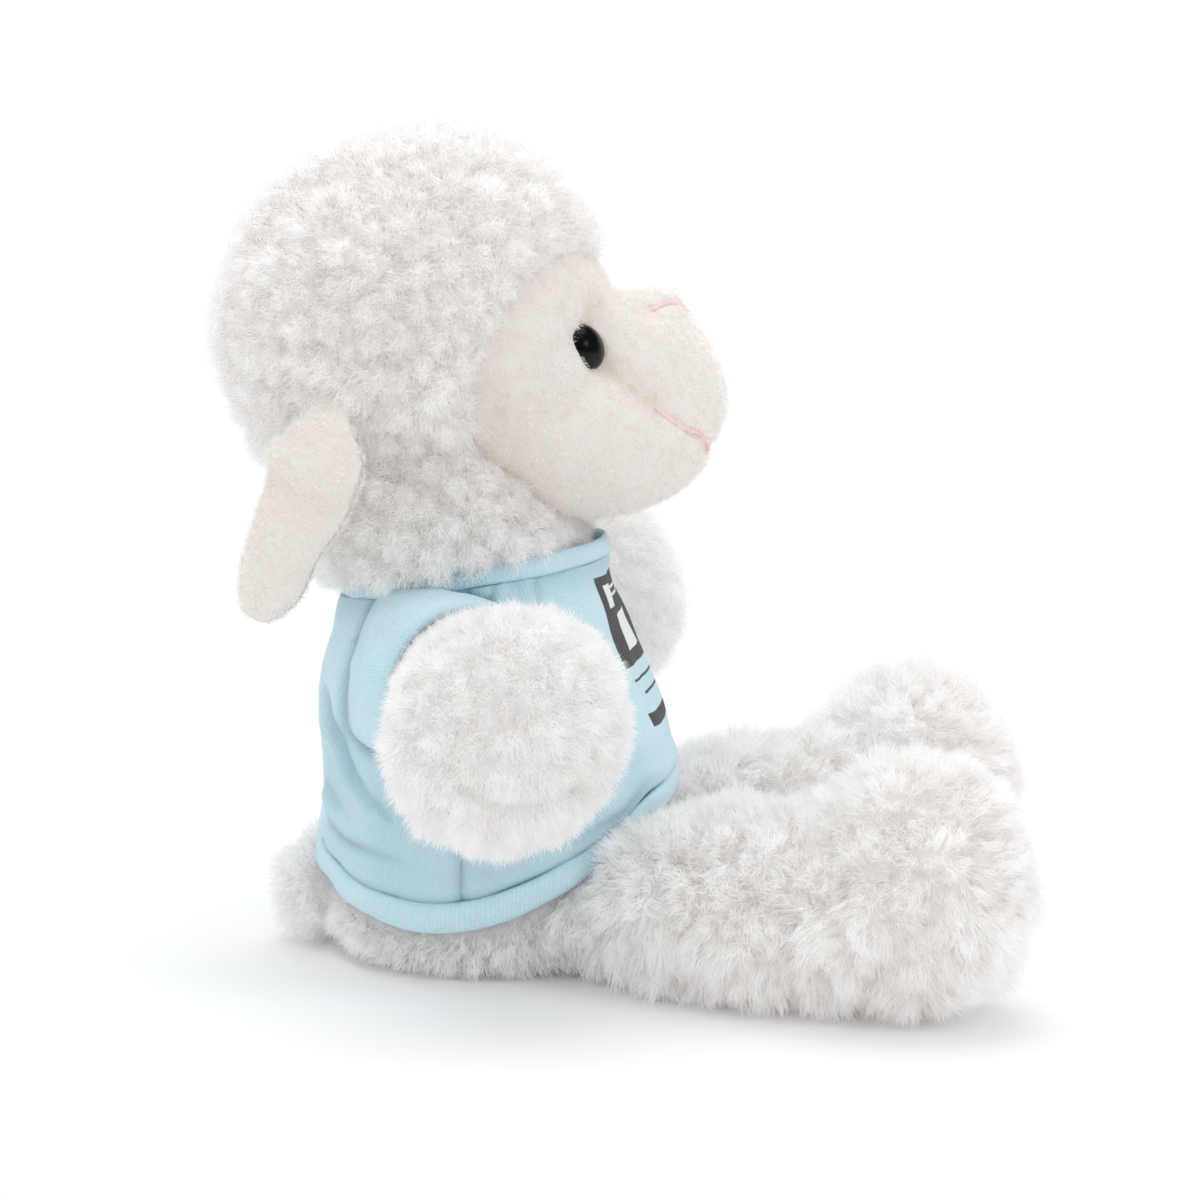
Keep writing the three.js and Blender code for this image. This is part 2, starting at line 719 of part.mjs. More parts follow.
const legMiddle = (legSwing[0] + legSwing[1]) / 2;

// Cuts from a solid the room that both legs take at some angles of their swing.
function withLegRoom(solid, gap, sides, angles) {
  const cutters = [right, left].flatMap((side) => {
    const group = legGroup(side);
    group.updateMatrix();
    const leg = legForm(gap, sides).transform(group.matrix.elements);
    return angles.map((angle) => turned(leg, group.position, upwards, side * angle));
  });
  return cutters.reduce((rest, leg) => rest.subtract(leg), solid);
}

function buildLeg(side) {
  const group = legGroup(side);
  const name = sideName(side);
  const swing = side === left ? legSwing : [-legSwing[1], -legSwing[0]];
  const trim = trimmer(group, shirtEnvelope, upwards, swing);
  const floor = seenFrom(group, floorCut);
  const sole = seenFrom(group, moved(floorCut, new THREE.Vector3(0, 0, woolPile + seamGap)));
  const skin = trim(legForm(0, limbSides)).subtract(floor).subtract(legForm(-woolPile, innerSides));
  const stuffing = trim(legForm(-woolPile - seamGap, innerSides)).subtract(sole);
  group.add(
    meshFrom(`leg_${name}_skin`, skin, wool),
    meshFrom(`leg_${name}_stuffing`, stuffing, filling),
  );
  return group;
}

// Tail

function buildTail() {
  const group = new THREE.Group();
  group.position.copy(tailRoot);
  const middle = new THREE.Vector3(0, tailLength, 0);
  const body = torsoForm(seamGap).add(shirtEnvelope);
  const trim = trimmer(group, body, upwards, [-tailWag, tailWag]);
  const puff = ellipsoid(middle, tailRadii, 3);
  const core = (gap) => ellipsoid(middle, shrunk(tailRadii, woolPile + gap), 1);
  const mouthRows = [
    [0, -tailRadii.y],
    [tailMouthRadius, -tailRadii.y],
    [tailMouthRadius, 0],
    [0, 0],
  ];
  const mouth = latheTowards(mouthRows, innerSides, middle, new THREE.Vector3(0, 1, 0));
  group.add(
    meshFrom("tail_skin", trim(puff).subtract(core(0)).subtract(mouth), wool),
    meshFrom("tail_stuffing", trim(core(seamGap)), filling),
  );
  return group;
}

const lamb = new THREE.Group();
lamb.add(...buildTorso(), ...buildShirt(), ...buildHead(), buildTail());
for (const side of [right, left]) {
  lamb.add(buildEar(side), buildArm(side), buildLeg(side));
}

export default lamb;
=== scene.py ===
import json
import math

import bmesh
import bpy
import numpy as np
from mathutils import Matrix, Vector
from mathutils.bvhtree import BVHTree
from mathutils.kdtree import KDTree

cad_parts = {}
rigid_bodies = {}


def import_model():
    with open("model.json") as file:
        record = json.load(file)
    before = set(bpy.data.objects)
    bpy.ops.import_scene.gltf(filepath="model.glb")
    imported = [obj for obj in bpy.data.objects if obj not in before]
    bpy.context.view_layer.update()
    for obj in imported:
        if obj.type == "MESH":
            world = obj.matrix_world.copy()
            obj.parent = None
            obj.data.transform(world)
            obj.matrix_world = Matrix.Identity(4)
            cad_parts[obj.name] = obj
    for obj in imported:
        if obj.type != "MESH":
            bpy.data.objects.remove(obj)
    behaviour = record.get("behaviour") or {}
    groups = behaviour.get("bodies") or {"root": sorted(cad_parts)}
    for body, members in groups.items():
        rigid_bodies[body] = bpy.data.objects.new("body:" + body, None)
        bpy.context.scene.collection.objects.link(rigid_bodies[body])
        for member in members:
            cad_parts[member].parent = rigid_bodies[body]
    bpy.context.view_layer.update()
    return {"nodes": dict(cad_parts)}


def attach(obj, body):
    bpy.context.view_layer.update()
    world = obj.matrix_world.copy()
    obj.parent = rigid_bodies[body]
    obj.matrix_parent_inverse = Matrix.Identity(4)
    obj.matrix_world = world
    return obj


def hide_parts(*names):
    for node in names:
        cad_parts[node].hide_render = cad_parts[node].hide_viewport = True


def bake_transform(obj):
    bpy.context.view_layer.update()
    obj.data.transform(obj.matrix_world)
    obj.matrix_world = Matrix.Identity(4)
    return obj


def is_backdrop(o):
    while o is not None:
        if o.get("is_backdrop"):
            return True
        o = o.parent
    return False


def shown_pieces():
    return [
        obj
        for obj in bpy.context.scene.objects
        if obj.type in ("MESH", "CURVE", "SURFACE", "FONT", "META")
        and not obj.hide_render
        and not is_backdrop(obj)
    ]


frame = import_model()
scene = bpy.context.scene
mm = 0.001
right, left = -1, 1
sideName = {right: "right", left: "left"}

# nodes, for materials and for Geometry Nodes


def nodesOf(owner):
    owner.use_nodes = True
    owner.node_tree.nodes.clear()
    return owner.node_tree


def newMaterial(name):
    material = bpy.data.materials.new(name)
    return material, nodesOf(material)


def addNode(tree, kind, inputs=(), **settings):
    node = tree.nodes.new(kind)
    for key, value in settings.items():
        setattr(node, key, value)
    for key, value in dict(inputs).items():
        if isinstance(value, bpy.types.NodeSocket):
            tree.links.new(value, node.inputs[key])
        else:
            node.inputs[key].default_value = value
    return node


def maths(tree, operation, *values):
    return addNode(tree, "ShaderNodeMath", enumerate(values), operation=operation).outputs[0]


def plus(tree, first, second):
    return maths(tree, "ADD", first, second)


def times(tree, first, second):
    return maths(tree, "MULTIPLY", first, second)


def vectorMaths(tree, operation, *values):
    return addNode(tree, "ShaderNodeVectorMath", enumerate(values), operation=operation).outputs[0]


def scaled(tree, vector, by):
    return addNode(tree, "ShaderNodeVectorMath", {0: vector, "Scale": by}, operation="SCALE").outputs[0]


def remap(tree, value, fromLow, fromHigh, toLow=0.0, toHigh=1.0):
    return addNode(tree, "ShaderNodeMapRange", enumerate((value, fromLow, fromHigh, toLow, toHigh))).outputs[0]


def mixColours(tree, share, first, second):
    return addNode(tree, "ShaderNodeMix", {0: share, 6: first, 7: second}, data_type="RGBA").outputs[2]


def mixShaders(tree, share, first, second):
    return addNode(tree, "ShaderNodeMixShader", {0: share, 1: first.outputs[0], 2: second.outputs[0]})


def objectPlace(tree):
    return addNode(tree, "ShaderNodeTexCoord").outputs["Object"]


def attributeIn(tree, name):
    return addNode(tree, "ShaderNodeAttribute", attribute_name=name).outputs["Fac"]


def noiseIn(tree, place, size, detail=2.0, roughness=0.5):
    inputs = {"Vector": place, "Scale": 1 / size, "Detail": detail, "Roughness": roughness}
    return addNode(tree, "ShaderNodeTexNoise", inputs).outputs["Fac"]


def randomIn(tree, seed, low, high, kind="FLOAT"):
    at = ("FLOAT_VECTOR", "FLOAT", "INT").index(kind)
    inputs = {"Seed": seed, 2 * at: low, 2 * at + 1: high}
    return addNode(tree, "FunctionNodeRandomValue", inputs, data_type=kind).outputs[at]


def openGroup(name, sockets, result):
    tree = bpy.data.node_groups.new(name, "GeometryNodeTree")
    for label, kind in sockets.items():
        tree.interface.new_socket(name=label, in_out="INPUT", socket_type="NodeSocket" + kind)
    tree.interface.new_socket(name=result, in_out="OUTPUT", socket_type="NodeSocketGeometry")
    return tree, addNode(tree, "NodeGroupInput").outputs


def closeGroup(tree, geometry, material):
    real = addNode(tree, "GeometryNodeRealizeInstances", {0: geometry}).outputs[0]
    finished = addNode(tree, "GeometryNodeSetMaterial", {"Geometry": real, "Material": material})
    addNode(tree, "NodeGroupOutput", {0: finished.outputs[0]})
    return tree


# shapes, all in millimetres until the mesh is made


def linked(name, mesh):
    mesh.polygons.foreach_set("use_smooth", [True] * len(mesh.polygons))
    piece = bpy.data.objects.new(name, mesh)
    scene.collection.objects.link(piece)
    return piece


def meshObject(name, points, faces, material=None, edges=()):
    mesh = bpy.data.meshes.new(name)
    points = np.asarray(points, float) * mm
    mesh.from_pydata(points.tolist(), list(edges), [tuple(map(int, face)) for face in faces])
    mesh.update()
    if material:
        mesh.materials.append(material)
    return linked(name, mesh)


def vectorsOf(items, field):
    flat = np.zeros(len(items) * 3, np.float32)
    items.foreach_get(field, flat)
    return flat.reshape(-1, 3).astype(float)


def pointsOf(piece):
    return vectorsOf(piece.data.vertices, "co") / mm


def normalsOf(piece):
    return vectorsOf(piece.data.vertex_normals, "vector")


def setPoints(piece, points):
    piece.data.vertices.foreach_set("co", (np.asarray(points) * mm).astype(np.float32).ravel())
    piece.data.update()


def setAttribute(piece, name, values):
    values = np.asarray(values, np.float32)
    kind, field = ("FLOAT_VECTOR", "vector") if values.ndim == 2 else ("FLOAT", "value")
    piece.data.attributes.new(name, kind, "POINT").data.foreach_set(field, values.ravel())


def modify(piece, kind, **settings):
    modifier = piece.modifiers.new(kind.lower(), kind)
    for key, value in settings.items():
        setattr(modifier, key, value)
    return modifier


def discard(piece):
    mesh = piece.data
    bpy.data.objects.remove(piece)
    if mesh.users == 0:
        bpy.data.meshes.remove(mesh)


def settle(piece, name):
    # applies the modifiers, on a new object
    graph = bpy.context.evaluated_depsgraph_get()
    mesh = bpy.data.meshes.new_from_object(
        piece.evaluated_get(graph), preserve_all_data_layers=True, depsgraph=graph)
    mesh.name = name
    settled = linked(name, mesh)
    discard(piece)
    return settled


def throughGroup(piece, name, tree, values):
    modifier = modify(piece, "NODES", node_group=tree)
    for item in tree.interface.items_tree:
        if item.name in values:
            modifier[item.identifier] = values[item.name]
    return settle(piece, name)


def facingOut(piece):
    shape = bmesh.new()
    shape.from_mesh(piece.data)
    bmesh.ops.recalc_face_normals(shape, faces=shape.faces)
    shape.to_mesh(piece.data)
    shape.free()


def ballPoints(level):
    ball = bmesh.new()
    bmesh.ops.create_icosphere(ball, subdivisions=level, radius=1)
    ball.verts.index_update()
    points = np.array([v.co for v in ball.verts])
    faces = [tuple(v.index for v in f.verts) for f in ball.faces]
    ball.free()
    return points / np.linalg.norm(points, axis=1)[:, None], faces


def gridFaces(rows, columns, closedAcross=False, closedAlong=False):
    faces = []
    for r in range(rows if closedAlong else rows - 1):
        for c in range(columns if closedAcross else columns - 1):
            here, after = r * columns, (r + 1) % rows * columns
            beside = (c + 1) % columns
            faces.append((here + c, here + beside, after + beside, after + c))
    return faces


def tubeFaces(rows, columns):
    faces = gridFaces(rows, columns, closedAcross=True)
    return faces + [tuple(range(columns))[::-1], tuple(range((rows - 1) * columns, rows * columns))]


def smoothStep(low, high, value):
    share = np.clip((value - low) / (high - low), 0, 1)
    return share * share * (3 - 2 * share)


def bell(value, width):
    return np.exp(-((value / width) ** 2))


def unit(vectors):
    vectors = np.asarray(vectors, float)
    return vectors / np.maximum(np.linalg.norm(vectors, axis=-1, keepdims=True), 1e-9)


def turnZ(points, degrees):
    c, s = math.cos(math.radians(degrees)), math.sin(math.radians(degrees))
    return np.asarray(points, float) @ np.array([[c, s, 0], [-s, c, 0], [0, 0, 1]])


def mirrored(points):
    return np.asarray(points) * (-1, 1, 1)


def softNoise(points, size, seed, waves=14):
    draw = np.random.default_rng(seed)
    ways = draw.normal(size=(waves, 3))
    ways *= (2 * np.pi / size * draw.uniform(0.6, 1.4, waves) / np.linalg.norm(ways, axis=1))[:, None]
    phases = draw.uniform(0, 2 * np.pi, waves)
    return np.cos(points @ ways.T + phases).sum(1) * math.sqrt(2 / waves)


def throughPoints(table, count=400):
    # a smooth curve through the rows of a table, which run along its first column
    table = np.asarray(table, float)
    at = np.linspace(table[0, 0], table[-1, 0], count)
    i = np.clip(np.searchsorted(table[:, 0], at) - 1, 0, len(table) - 2)
    width = table[i + 1, 0] - table[i, 0]
    t = (at - table[i, 0]) / width
    columns = []
    for column in table[:, 1:].T:
        slopes = np.gradient(column, table[:, 0])
        columns.append(
            (2 * t**3 - 3 * t**2 + 1) * column[i] + (t**3 - 2 * t**2 + t) * width * slopes[i]
            + (-2 * t**3 + 3 * t**2) * column[i + 1] + (t**3 - t**2) * width * slopes[i + 1])
    return at, np.array(columns)


def rayToEllipsoid(heart, ways, centre, radii):
    start, step = (heart - centre) / radii, ways / radii
    a, b, c = (step**2).sum(1), (step * start).sum(1), (start**2).sum() - 1
    return (-b + np.sqrt(np.maximum(b * b - a * c, 0))) / a


def softMax(p, q, softness):
    near = np.maximum(softness - np.abs(p - q), 0) / softness
    return np.maximum(p, q) + near**2 * softness / 4


def latheAlong(rows, sides, base, axis):
    # rows have a radius and a distance along the axis
    axis = unit(axis)
    across = unit(np.cross(axis, (0, 0, 1) if abs(axis[2]) < 0.9 else (1, 0, 0)))
    other = np.cross(axis, across)
    points = []
    for radius, reach in rows:
        for i in range(sides):
            turn = 2 * math.pi * i / sides
            points.append(base + axis * reach + radius * (across * math.cos(turn) + other * math.sin(turn)))
    return np.array(points), tubeFaces(len(rows), sides)


# camera, lamps and floor

camera = {"azimuth": -83, "elevation": 9, "distance": 0.8, "lens": 96, "target": (0, -0.030, 0.089)}
studio = {
    "worldStrength": 0.94, "worldShine": 0.06, "floorSize": 6, "floorWhite": 0.9, "lightBounces": 24,
    # place, size and power
    "lamps": {"soft_top": ((0.2, 0.12, 1.3), 1.3, 6.6), "soft_fill": ((-0.75, -1.15, 1.0), 0.3, 2.1)},
    "shadowMiddle": (0, -0.045, 0), "shadowReach": 0.13, "whiteFrom": 0.22,
}


def setUpLights():
    az, el = math.radians(camera["azimuth"]), math.radians(camera["elevation"])
    back = Vector((math.sin(az) * math.cos(el), -math.cos(az) * math.cos(el), math.sin(el)))
    target = Vector(camera["target"])

    def aimed(name, data, place, back):
        piece = bpy.data.objects.new(name, data)
        piece.location = place
        piece.rotation_euler = back.to_track_quat("Z", "Y").to_euler()
        scene.collection.objects.link(piece)
        return piece

    lens = bpy.data.cameras.new("camera")
    lens.lens, lens.sensor_width, lens.clip_start = camera["lens"], 36, 0.02
    scene.camera = aimed("camera", lens, target + back * camera["distance"], back)
    for name, (place, size, power) in studio["lamps"].items():
        light = bpy.data.lights.new(name, "AREA")
        light.size, light.energy = size, power
        aimed(name, light, place, Vector(place) - target)
    scene.view_settings.view_transform = "Standard"
    scene.cycles.max_bounces = studio["lightBounces"] + 8
    scene.cycles.diffuse_bounces = scene.cycles.transmission_bounces = studio["lightBounces"]


def setUpWorld():
    scene.world = bpy.data.worlds.new("white_studio")
    tree = nodesOf(scene.world)
    ray = addNode(tree, "ShaderNodeLightPath").outputs
    strength = remap(tree, ray["Is Glossy Ray"], 0, 1, studio["worldStrength"], studio["worldShine"])
    strength = maths(tree, "MAXIMUM", strength, ray["Is Camera Ray"])
    sky = addNode(tree, "ShaderNodeBackground", {"Color": (1, 1, 1, 1), "Strength": strength})
    addNode(tree, "ShaderNodeOutputWorld", {"Surface": sky.outputs[0]})


def layFloor():
    # matt paper, which the camera sees as pure white away from the shadow
    paper, tree = newMaterial("studio_paper")
    matt = addNode(tree, "ShaderNodeBsdfDiffuse", {"Color": (studio["floorWhite"],) * 3 + (1,)})
    white = addNode(tree, "ShaderNodeEmission", {"Color": (1, 1, 1, 1), "Strength": 1.0})
    spot = vectorMaths(tree, "SUBTRACT", objectPlace(tree), studio["shadowMiddle"])
    reach = addNode(tree, "ShaderNodeVectorMath", {0: spot}, operation="LENGTH").outputs["Value"]
    seen = addNode(tree, "ShaderNodeLightPath").outputs["Is Camera Ray"]
    away = times(tree, remap(tree, reach, studio["shadowReach"], studio["whiteFrom"]), seen)
    addNode(tree, "ShaderNodeOutputMaterial", {"Surface": mixShaders(tree, away, matt, white).outputs[0]})
    side = studio["floorSize"] / 2 / mm
    corners = [(-side, -side, 0), (side, -side, 0), (side, side, 0), (-side, side, 0)]
    meshObject("floor", corners, [(0, 1, 2, 3)], paper)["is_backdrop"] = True


setUpLights()
setUpWorld()
layFloor()
print("stage: studio ready")

# the forms that the CAD shares

torso = {
    "rows": [
        # height, half width, front, back
        (0, 27, -30, 27), (3, 34, -38, 33), (9, 40, -43, 37), (20, 42.5, -45, 38), (35, 43, -45.5, 38.3),
        (50, 42, -46, 38.5), (62, 40, -43.5, 38.5), (75, 36.5, -38, 37), (86, 33, -34, 34),
        (95, 30, -31, 31), (104, 27, -30, 28), (110, 24, -28, 26),
    ],
    "squareness": 2.2,
    "pouch": {"centre": (0, -3, 10.5), "radii": (22, 22, 8)},
}
neck = {"seat": np.array((0, 2, 100.5)), "tilt": 9}
neckAxis = np.array((0, math.sin(math.radians(neck["tilt"])), math.cos(math.radians(neck["tilt"]))))
torsoHeights, torsoCurves = throughPoints(torso["rows"])


def torsoAt(heights):
    # half width, front and back
    return [np.interp(heights, torsoHeights, curve) for curve in torsoCurves]


def torsoPoints(angles, heights, grow):
    halfWidth, front, back = torsoAt(heights)
    power = 2 / torso["squareness"]
    across, along = np.cos(angles), np.sin(angles)
    x = (halfWidth + grow) * np.sign(across) * np.abs(across) ** power
    y = (front + back) / 2 + ((back - front) / 2 + grow) * np.sign(along) * np.abs(along) ** power
    return np.stack([x, y, heights + 0 * x], -1)


def offTorso(points):
    # roughly how far points lie outside the torso's form
    halfWidth, front, back = torsoAt(points[..., 2])
    x, y = points[..., 0], points[..., 1] - (front + back) / 2
    power = torso["squareness"]
    size = (np.abs(x / halfWidth) ** power + np.abs(y / ((back - front) / 2)) ** power) ** (1 / power)
    return np.hypot(x, y) * (1 - 1 / np.maximum(size, 1e-6))


def aboveNeck(points):
    return (points - neck["seat"]) @ neckAxis


def liftedOffNeck(points, gap):
    return points - np.minimum(aboveNeck(points) - gap, 0)[:, None] * neckAxis


print("stage: forms ready")

# materials


def surface(tree, colour, look, bump=None):
    # light shines through it where its look says how much
    shader = addNode(tree, "ShaderNodeBsdfPrincipled", {
        "Base Color": colour, "Roughness": look["roughness"], "Specular IOR Level": look["shine"],
        "Sheen Weight": look.get("sheen", 0), "Sheen Roughness": look.get("sheenSpread", 0.5)})
    if bump is not None:
        strength, distance = look["bump"]
        lifted = addNode(tree, "ShaderNodeBump", {"Height": bump, "Strength": strength, "Distance": distance})
        tree.links.new(lifted.outputs[0], shader.inputs["Normal"])
    if "through" in look:
        glow = addNode(tree, "ShaderNodeBsdfTranslucent", {"Color": colour})
        shader = mixShaders(tree, look["through"], shader, glow)
    addNode(tree, "ShaderNodeOutputMaterial", {"Surface": shader.outputs[0]})


# the root colour is painted shade deep in the pile, and the tip colour is the fibres' own white
woolLook = {
    "root": (0.945, 0.935, 0.93, 1), "tip": (0.997, 0.996, 0.995, 1), "patch": 0.016,
    "roughness": 0.95, "shine": 0.15, "sheen": 0.15, "sheenSpread": 0.6, "through": 0.5,
}


def makeWool():
    # painted shade: darker at the roots of the fibres, deep in the pile, and in the creases between the puffs;
    # lighter towards the tips of the fibres and on the crests of the puffs
    wool, tree = newMaterial("cotton_white_wool")
    light = plus(tree, times(tree, attributeIn(tree, "along"), 0.45),
                  times(tree, attributeIn(tree, "crest"), 0.75))
    patches = noiseIn(tree, objectPlace(tree), woolLook["patch"])
    share = plus(tree, light, remap(tree, patches, 0.3, 0.7, -0.12, 0.12))
    share = maths(tree, "MINIMUM", maths(tree, "MAXIMUM", share, 0.0), 1.0)
    surface(tree, mixColours(tree, share, woolLook["root"], woolLook["tip"]), woolLook)
    return wool


# the root colour is painted shade deep in the nap, the tip colour is the velour's own cream, and the shade colour is
# painted shade for the valleys and the rim
velourLook = {
    "root": (0.95, 0.928, 0.905, 1), "tip": (0.992, 0.984, 0.974, 1), "shade": (0.83, 0.75, 0.69, 1),
    "patch": 0.009, "grain": 0.0007, "bump": (0.4, 0.0004),
    "roughness": 0.92, "shine": 0.15, "sheen": 0.15, "through": 0.4,
}


def makeVelour():
    velour, tree = newMaterial("cream_velour")
    place = objectPlace(tree)
    patches = noiseIn(tree, place, velourLook["patch"], 3)
    # painted shade: darker at the roots of the nap, and towards the shade colour where the skin's shade attribute
    # says; the patches vary the tone at random
    share = plus(tree, remap(tree, attributeIn(tree, "along"), 0, 0.9, 0.15, 0.85),
                  remap(tree, patches, 0.3, 0.7, -0.25, 0.15))
    colour = mixColours(tree, share, velourLook["root"], velourLook["tip"])
    shade = times(tree, attributeIn(tree, "shade"), remap(tree, patches, 0.35, 0.65, 0.5, 1))
    colour = mixColours(tree, shade, colour, velourLook["shade"])
    surface(tree, colour, velourLook, noiseIn(tree, place, velourLook["grain"], 3, 0.7))
    return velour


jerseyLook = {
    # deep is the colour of the painted shade between the wales and of the darker random patches; crease is the colour
    # of the painted shade in folds and seams
    "colour": (0.635, 0.84, 0.915, 1), "deep": (0.48, 0.69, 0.785, 1), "crease": (0.32, 0.48, 0.56, 1),
    "wale": 0.0009, "course": 0.0008, "fuzz": 0.0008, "patch": 0.02, "bump": (0.5, 0.0003),
    "panel": (0.075, 0.078, 0.082, 1), "paper": (0.86, 0.88, 0.89, 1),
    "roughness": 0.88, "shine": 0.25, "sheen": 0.12,
}


def makeJersey(name, printed=False):
    jersey, tree = newMaterial(name)
    cut = addNode(tree, "ShaderNodeUVMap", uv_map="cut").outputs[0]
    spot = addNode(tree, "ShaderNodeSeparateXYZ", {0: cut}).outputs
    across = times(tree, spot[0], 2 * math.pi / jerseyLook["wale"])
    wales = maths(tree, "ABSOLUTE", maths(tree, "SINE", times(tree, across, 0.5)))
    # each stitch leans to the middle of its wale
    leaning = times(tree, maths(tree, "COSINE", across), 1.4)
    along = times(tree, spot[1], 2 * math.pi / jerseyLook["course"])
    courses = maths(tree, "SINE", plus(tree, along, leaning))
    knit = plus(tree, wales, times(tree, courses, 0.25))
    place = objectPlace(tree)
    fuzz = noiseIn(tree, place, jerseyLook["fuzz"], 3, 0.7)
    patches = noiseIn(tree, place, jerseyLook["patch"], 2)
    worn = plus(tree, remap(tree, fuzz, 0.35, 0.65, 0, 0.3), remap(tree, patches, 0.3, 0.7, -0.1, 0.25))
    # painted shade: darker in the hollows between the wales, where the knit's bump is low; the fuzz and the patches
    # vary the tone at random
    share = plus(tree, remap(tree, knit, 0.1, 1.2, 0.28, 0), worn)
    colour = mixColours(tree, share, jerseyLook["colour"], jerseyLook["deep"])
    shade = maths(tree, "MINIMUM", attributeIn(tree, "shade"), 1.0)
    colour = mixColours(tree, shade, colour, jerseyLook["crease"])
    if printed:
        colour = printedColour(tree, place, colour)
    surface(tree, colour, jerseyLook, plus(tree, knit, times(tree, fuzz, 2.2)))
    return jersey


printSizes = {
    "middle": 0.0855, "halfWidth": 0.0152, "halfHeight": 0.0112, "edge": 0.0001,
    # left, right, bottom and top of the white bars, as shares of the panel's half sizes
    "bars": [(-0.8, -0.45, 0.3, 0.8), (-0.3, 0.8, 0.62, 0.68), (-0.3, 0.8, 0.46, 0.52), (-0.5, 0.5, -0.7, 0.1)],
    # how far under the panel a line is, its share of the panel's width, and its thickness
    "lines": [(0.0038, 0.8, 0.0006), (0.0072, 0.6, 0.0006), (0.0145, 0.9, 0.0032)],
}


def printedColour(tree, place, cloth):
    # a charcoal panel on the chest with plain white bars, and three plain lines under it
    x, y, z = addNode(tree, "ShaderNodeSeparateXYZ", {0: place}).outputs

    def within(value, low, high):
        edge = printSizes["edge"]
        rising = remap(tree, value, low - edge, low + edge)
        return times(tree, rising, remap(tree, value, high - edge, high + edge, 1, 0))

    def block(under, low, high, bottom, top, paint):
        share = times(tree, within(x, low, high), within(z, bottom, top))
        return mixColours(tree, share, under, jerseyLook[paint])

    wide, middle, tall = printSizes["halfWidth"], printSizes["middle"], printSizes["halfHeight"]
    colour = block(cloth, -wide, wide, middle - tall, middle + tall, "panel")
    for low, high, bottom, top in printSizes["bars"]:
        colour = block(colour, low * wide, high * wide, middle + bottom * tall, middle + top * tall, "paper")
    for drop, share, thick in printSizes["lines"]:
        bottom = middle - tall - drop
        colour = block(colour, -wide * share, wide * share, bottom, bottom + thick, "panel")
    return colour


def makePlain(name, colour, roughness, speckSize=0.002, bump=None, shine=0.5):
    plain, tree = newMaterial(name)
    specks = noiseIn(tree, objectPlace(tree), speckSize, 3)
    darker = tuple(part * 0.88 for part in colour[:3]) + (1,)
    tone = mixColours(tree, remap(tree, specks, 0.35, 0.65), darker, colour)
    surface(tree, tone, {"roughness": roughness, "shine": shine, "bump": bump}, bump and specks)
    return plain


rough = (0.3, 0.0002)
wool = makeWool()
velour = makeVelour()
jersey = makeJersey("light_blue_jersey")
printedJersey = makeJersey("printed_jersey", printed=True)
eyeGloss = makePlain("black_eye_gloss", (0.004, 0.004, 0.004, 1), 0.24, shine=0.22)
thread = makePlain("pink_thread", (0.95, 0.69, 0.68, 1), 0.85, 0.0006, rough)
ticking = makePlain("pouch_ticking", (0.80, 0.76, 0.66, 1), 0.9, 0.0008, rough)
nylon = makePlain("washer_nylon", (0.78, 0.78, 0.75, 1), 0.45, 0.003, rough)
print("stage: materials ready")

# the pile: tufts of curly fibres, spread over a skin by Geometry Nodes

tuftKinds = 6
tuftStyles = {
    # levels: how far up the strand, and its width there
    "curly": {"strands": 10, "height": 3.6, "rootSpread": 1.5, "gathered": 1.1, "tipSpread": 0.9, "belly": 0.6,
              "curl": 0.8, "width": 0.22, "levels": ((0, 1), (0.55, 0.8), (1, 0)), "seed": 11},
    "shaggy": {"strands": 10, "height": 6.5, "rootSpread": 1.3, "gathered": 0.6, "tipSpread": 0.7, "belly": 0.6,
               "curl": 1.6, "width": 0.27, "levels": ((0, 1), (0.58, 0.8), (1, 0)), "seed": 12},
    "nap": {"strands": 16, "height": 1.1, "rootSpread": 1.1, "gathered": 1.0, "tipSpread": 0.25, "belly": 0.0,
            "curl": 0.3, "width": 0.23, "levels": ((0, 1), (1, 0)), "seed": 13},
}
velourPuffs = {"size": 2.6, "height": 0.4, "stretch": 1.0, "gather": 0.9}
velourPile = {"tufts": "nap", "density": 0.56, "height": 1.05, "ruffle": 0.4, "ruffleSize": 4}


def makeTufts(style):
    sizes = tuftStyles[style]
    draw = np.random.default_rng(sizes["seed"])
    tufts = bpy.data.collections.new(f"{style}_tufts")
    for kind in range(tuftKinds):
        points, faces, along = [], [], []
        bend = unit(draw.normal(size=2)) * sizes["curl"]
        for strand in range(sizes["strands"]):
            angle, reach = draw.uniform(0, 2 * np.pi), sizes["rootSpread"] * math.sqrt(draw.random())
            root = np.array((math.cos(angle), math.sin(angle))) * reach
            tip = root * sizes["gathered"] + bend + draw.normal(0, sizes["tipSpread"], 2)
            belly = draw.normal(0, sizes["belly"], 2)
            height = sizes["height"] * draw.uniform(0.7, 1.08)
            turn = draw.uniform(0, np.pi)
            across = np.array((math.cos(turn), math.sin(turn))) * sizes["width"] / 2
            first = len(points)
            for share, wide in sizes["levels"]:
                middle = root + (tip - root) * share**1.4 + belly * 4 * share * (1 - share)
                for way in (-1, 1) if wide else (0,):
                    points.append((*(middle + across * wide * way), height * share))
                    along.append(share)
            last = len(points) - 1
            faces += [(i, i + 1, i + 3, i + 2) for i in range(first, last - 3, 2)]
            faces.append((last - 2, last - 1, last))
        tuft = meshObject(f"{style}_tuft_{kind}", points, faces)
        setAttribute(tuft, "along", along)
        scene.collection.objects.unlink(tuft)
        tufts.objects.link(tuft)
    return tufts


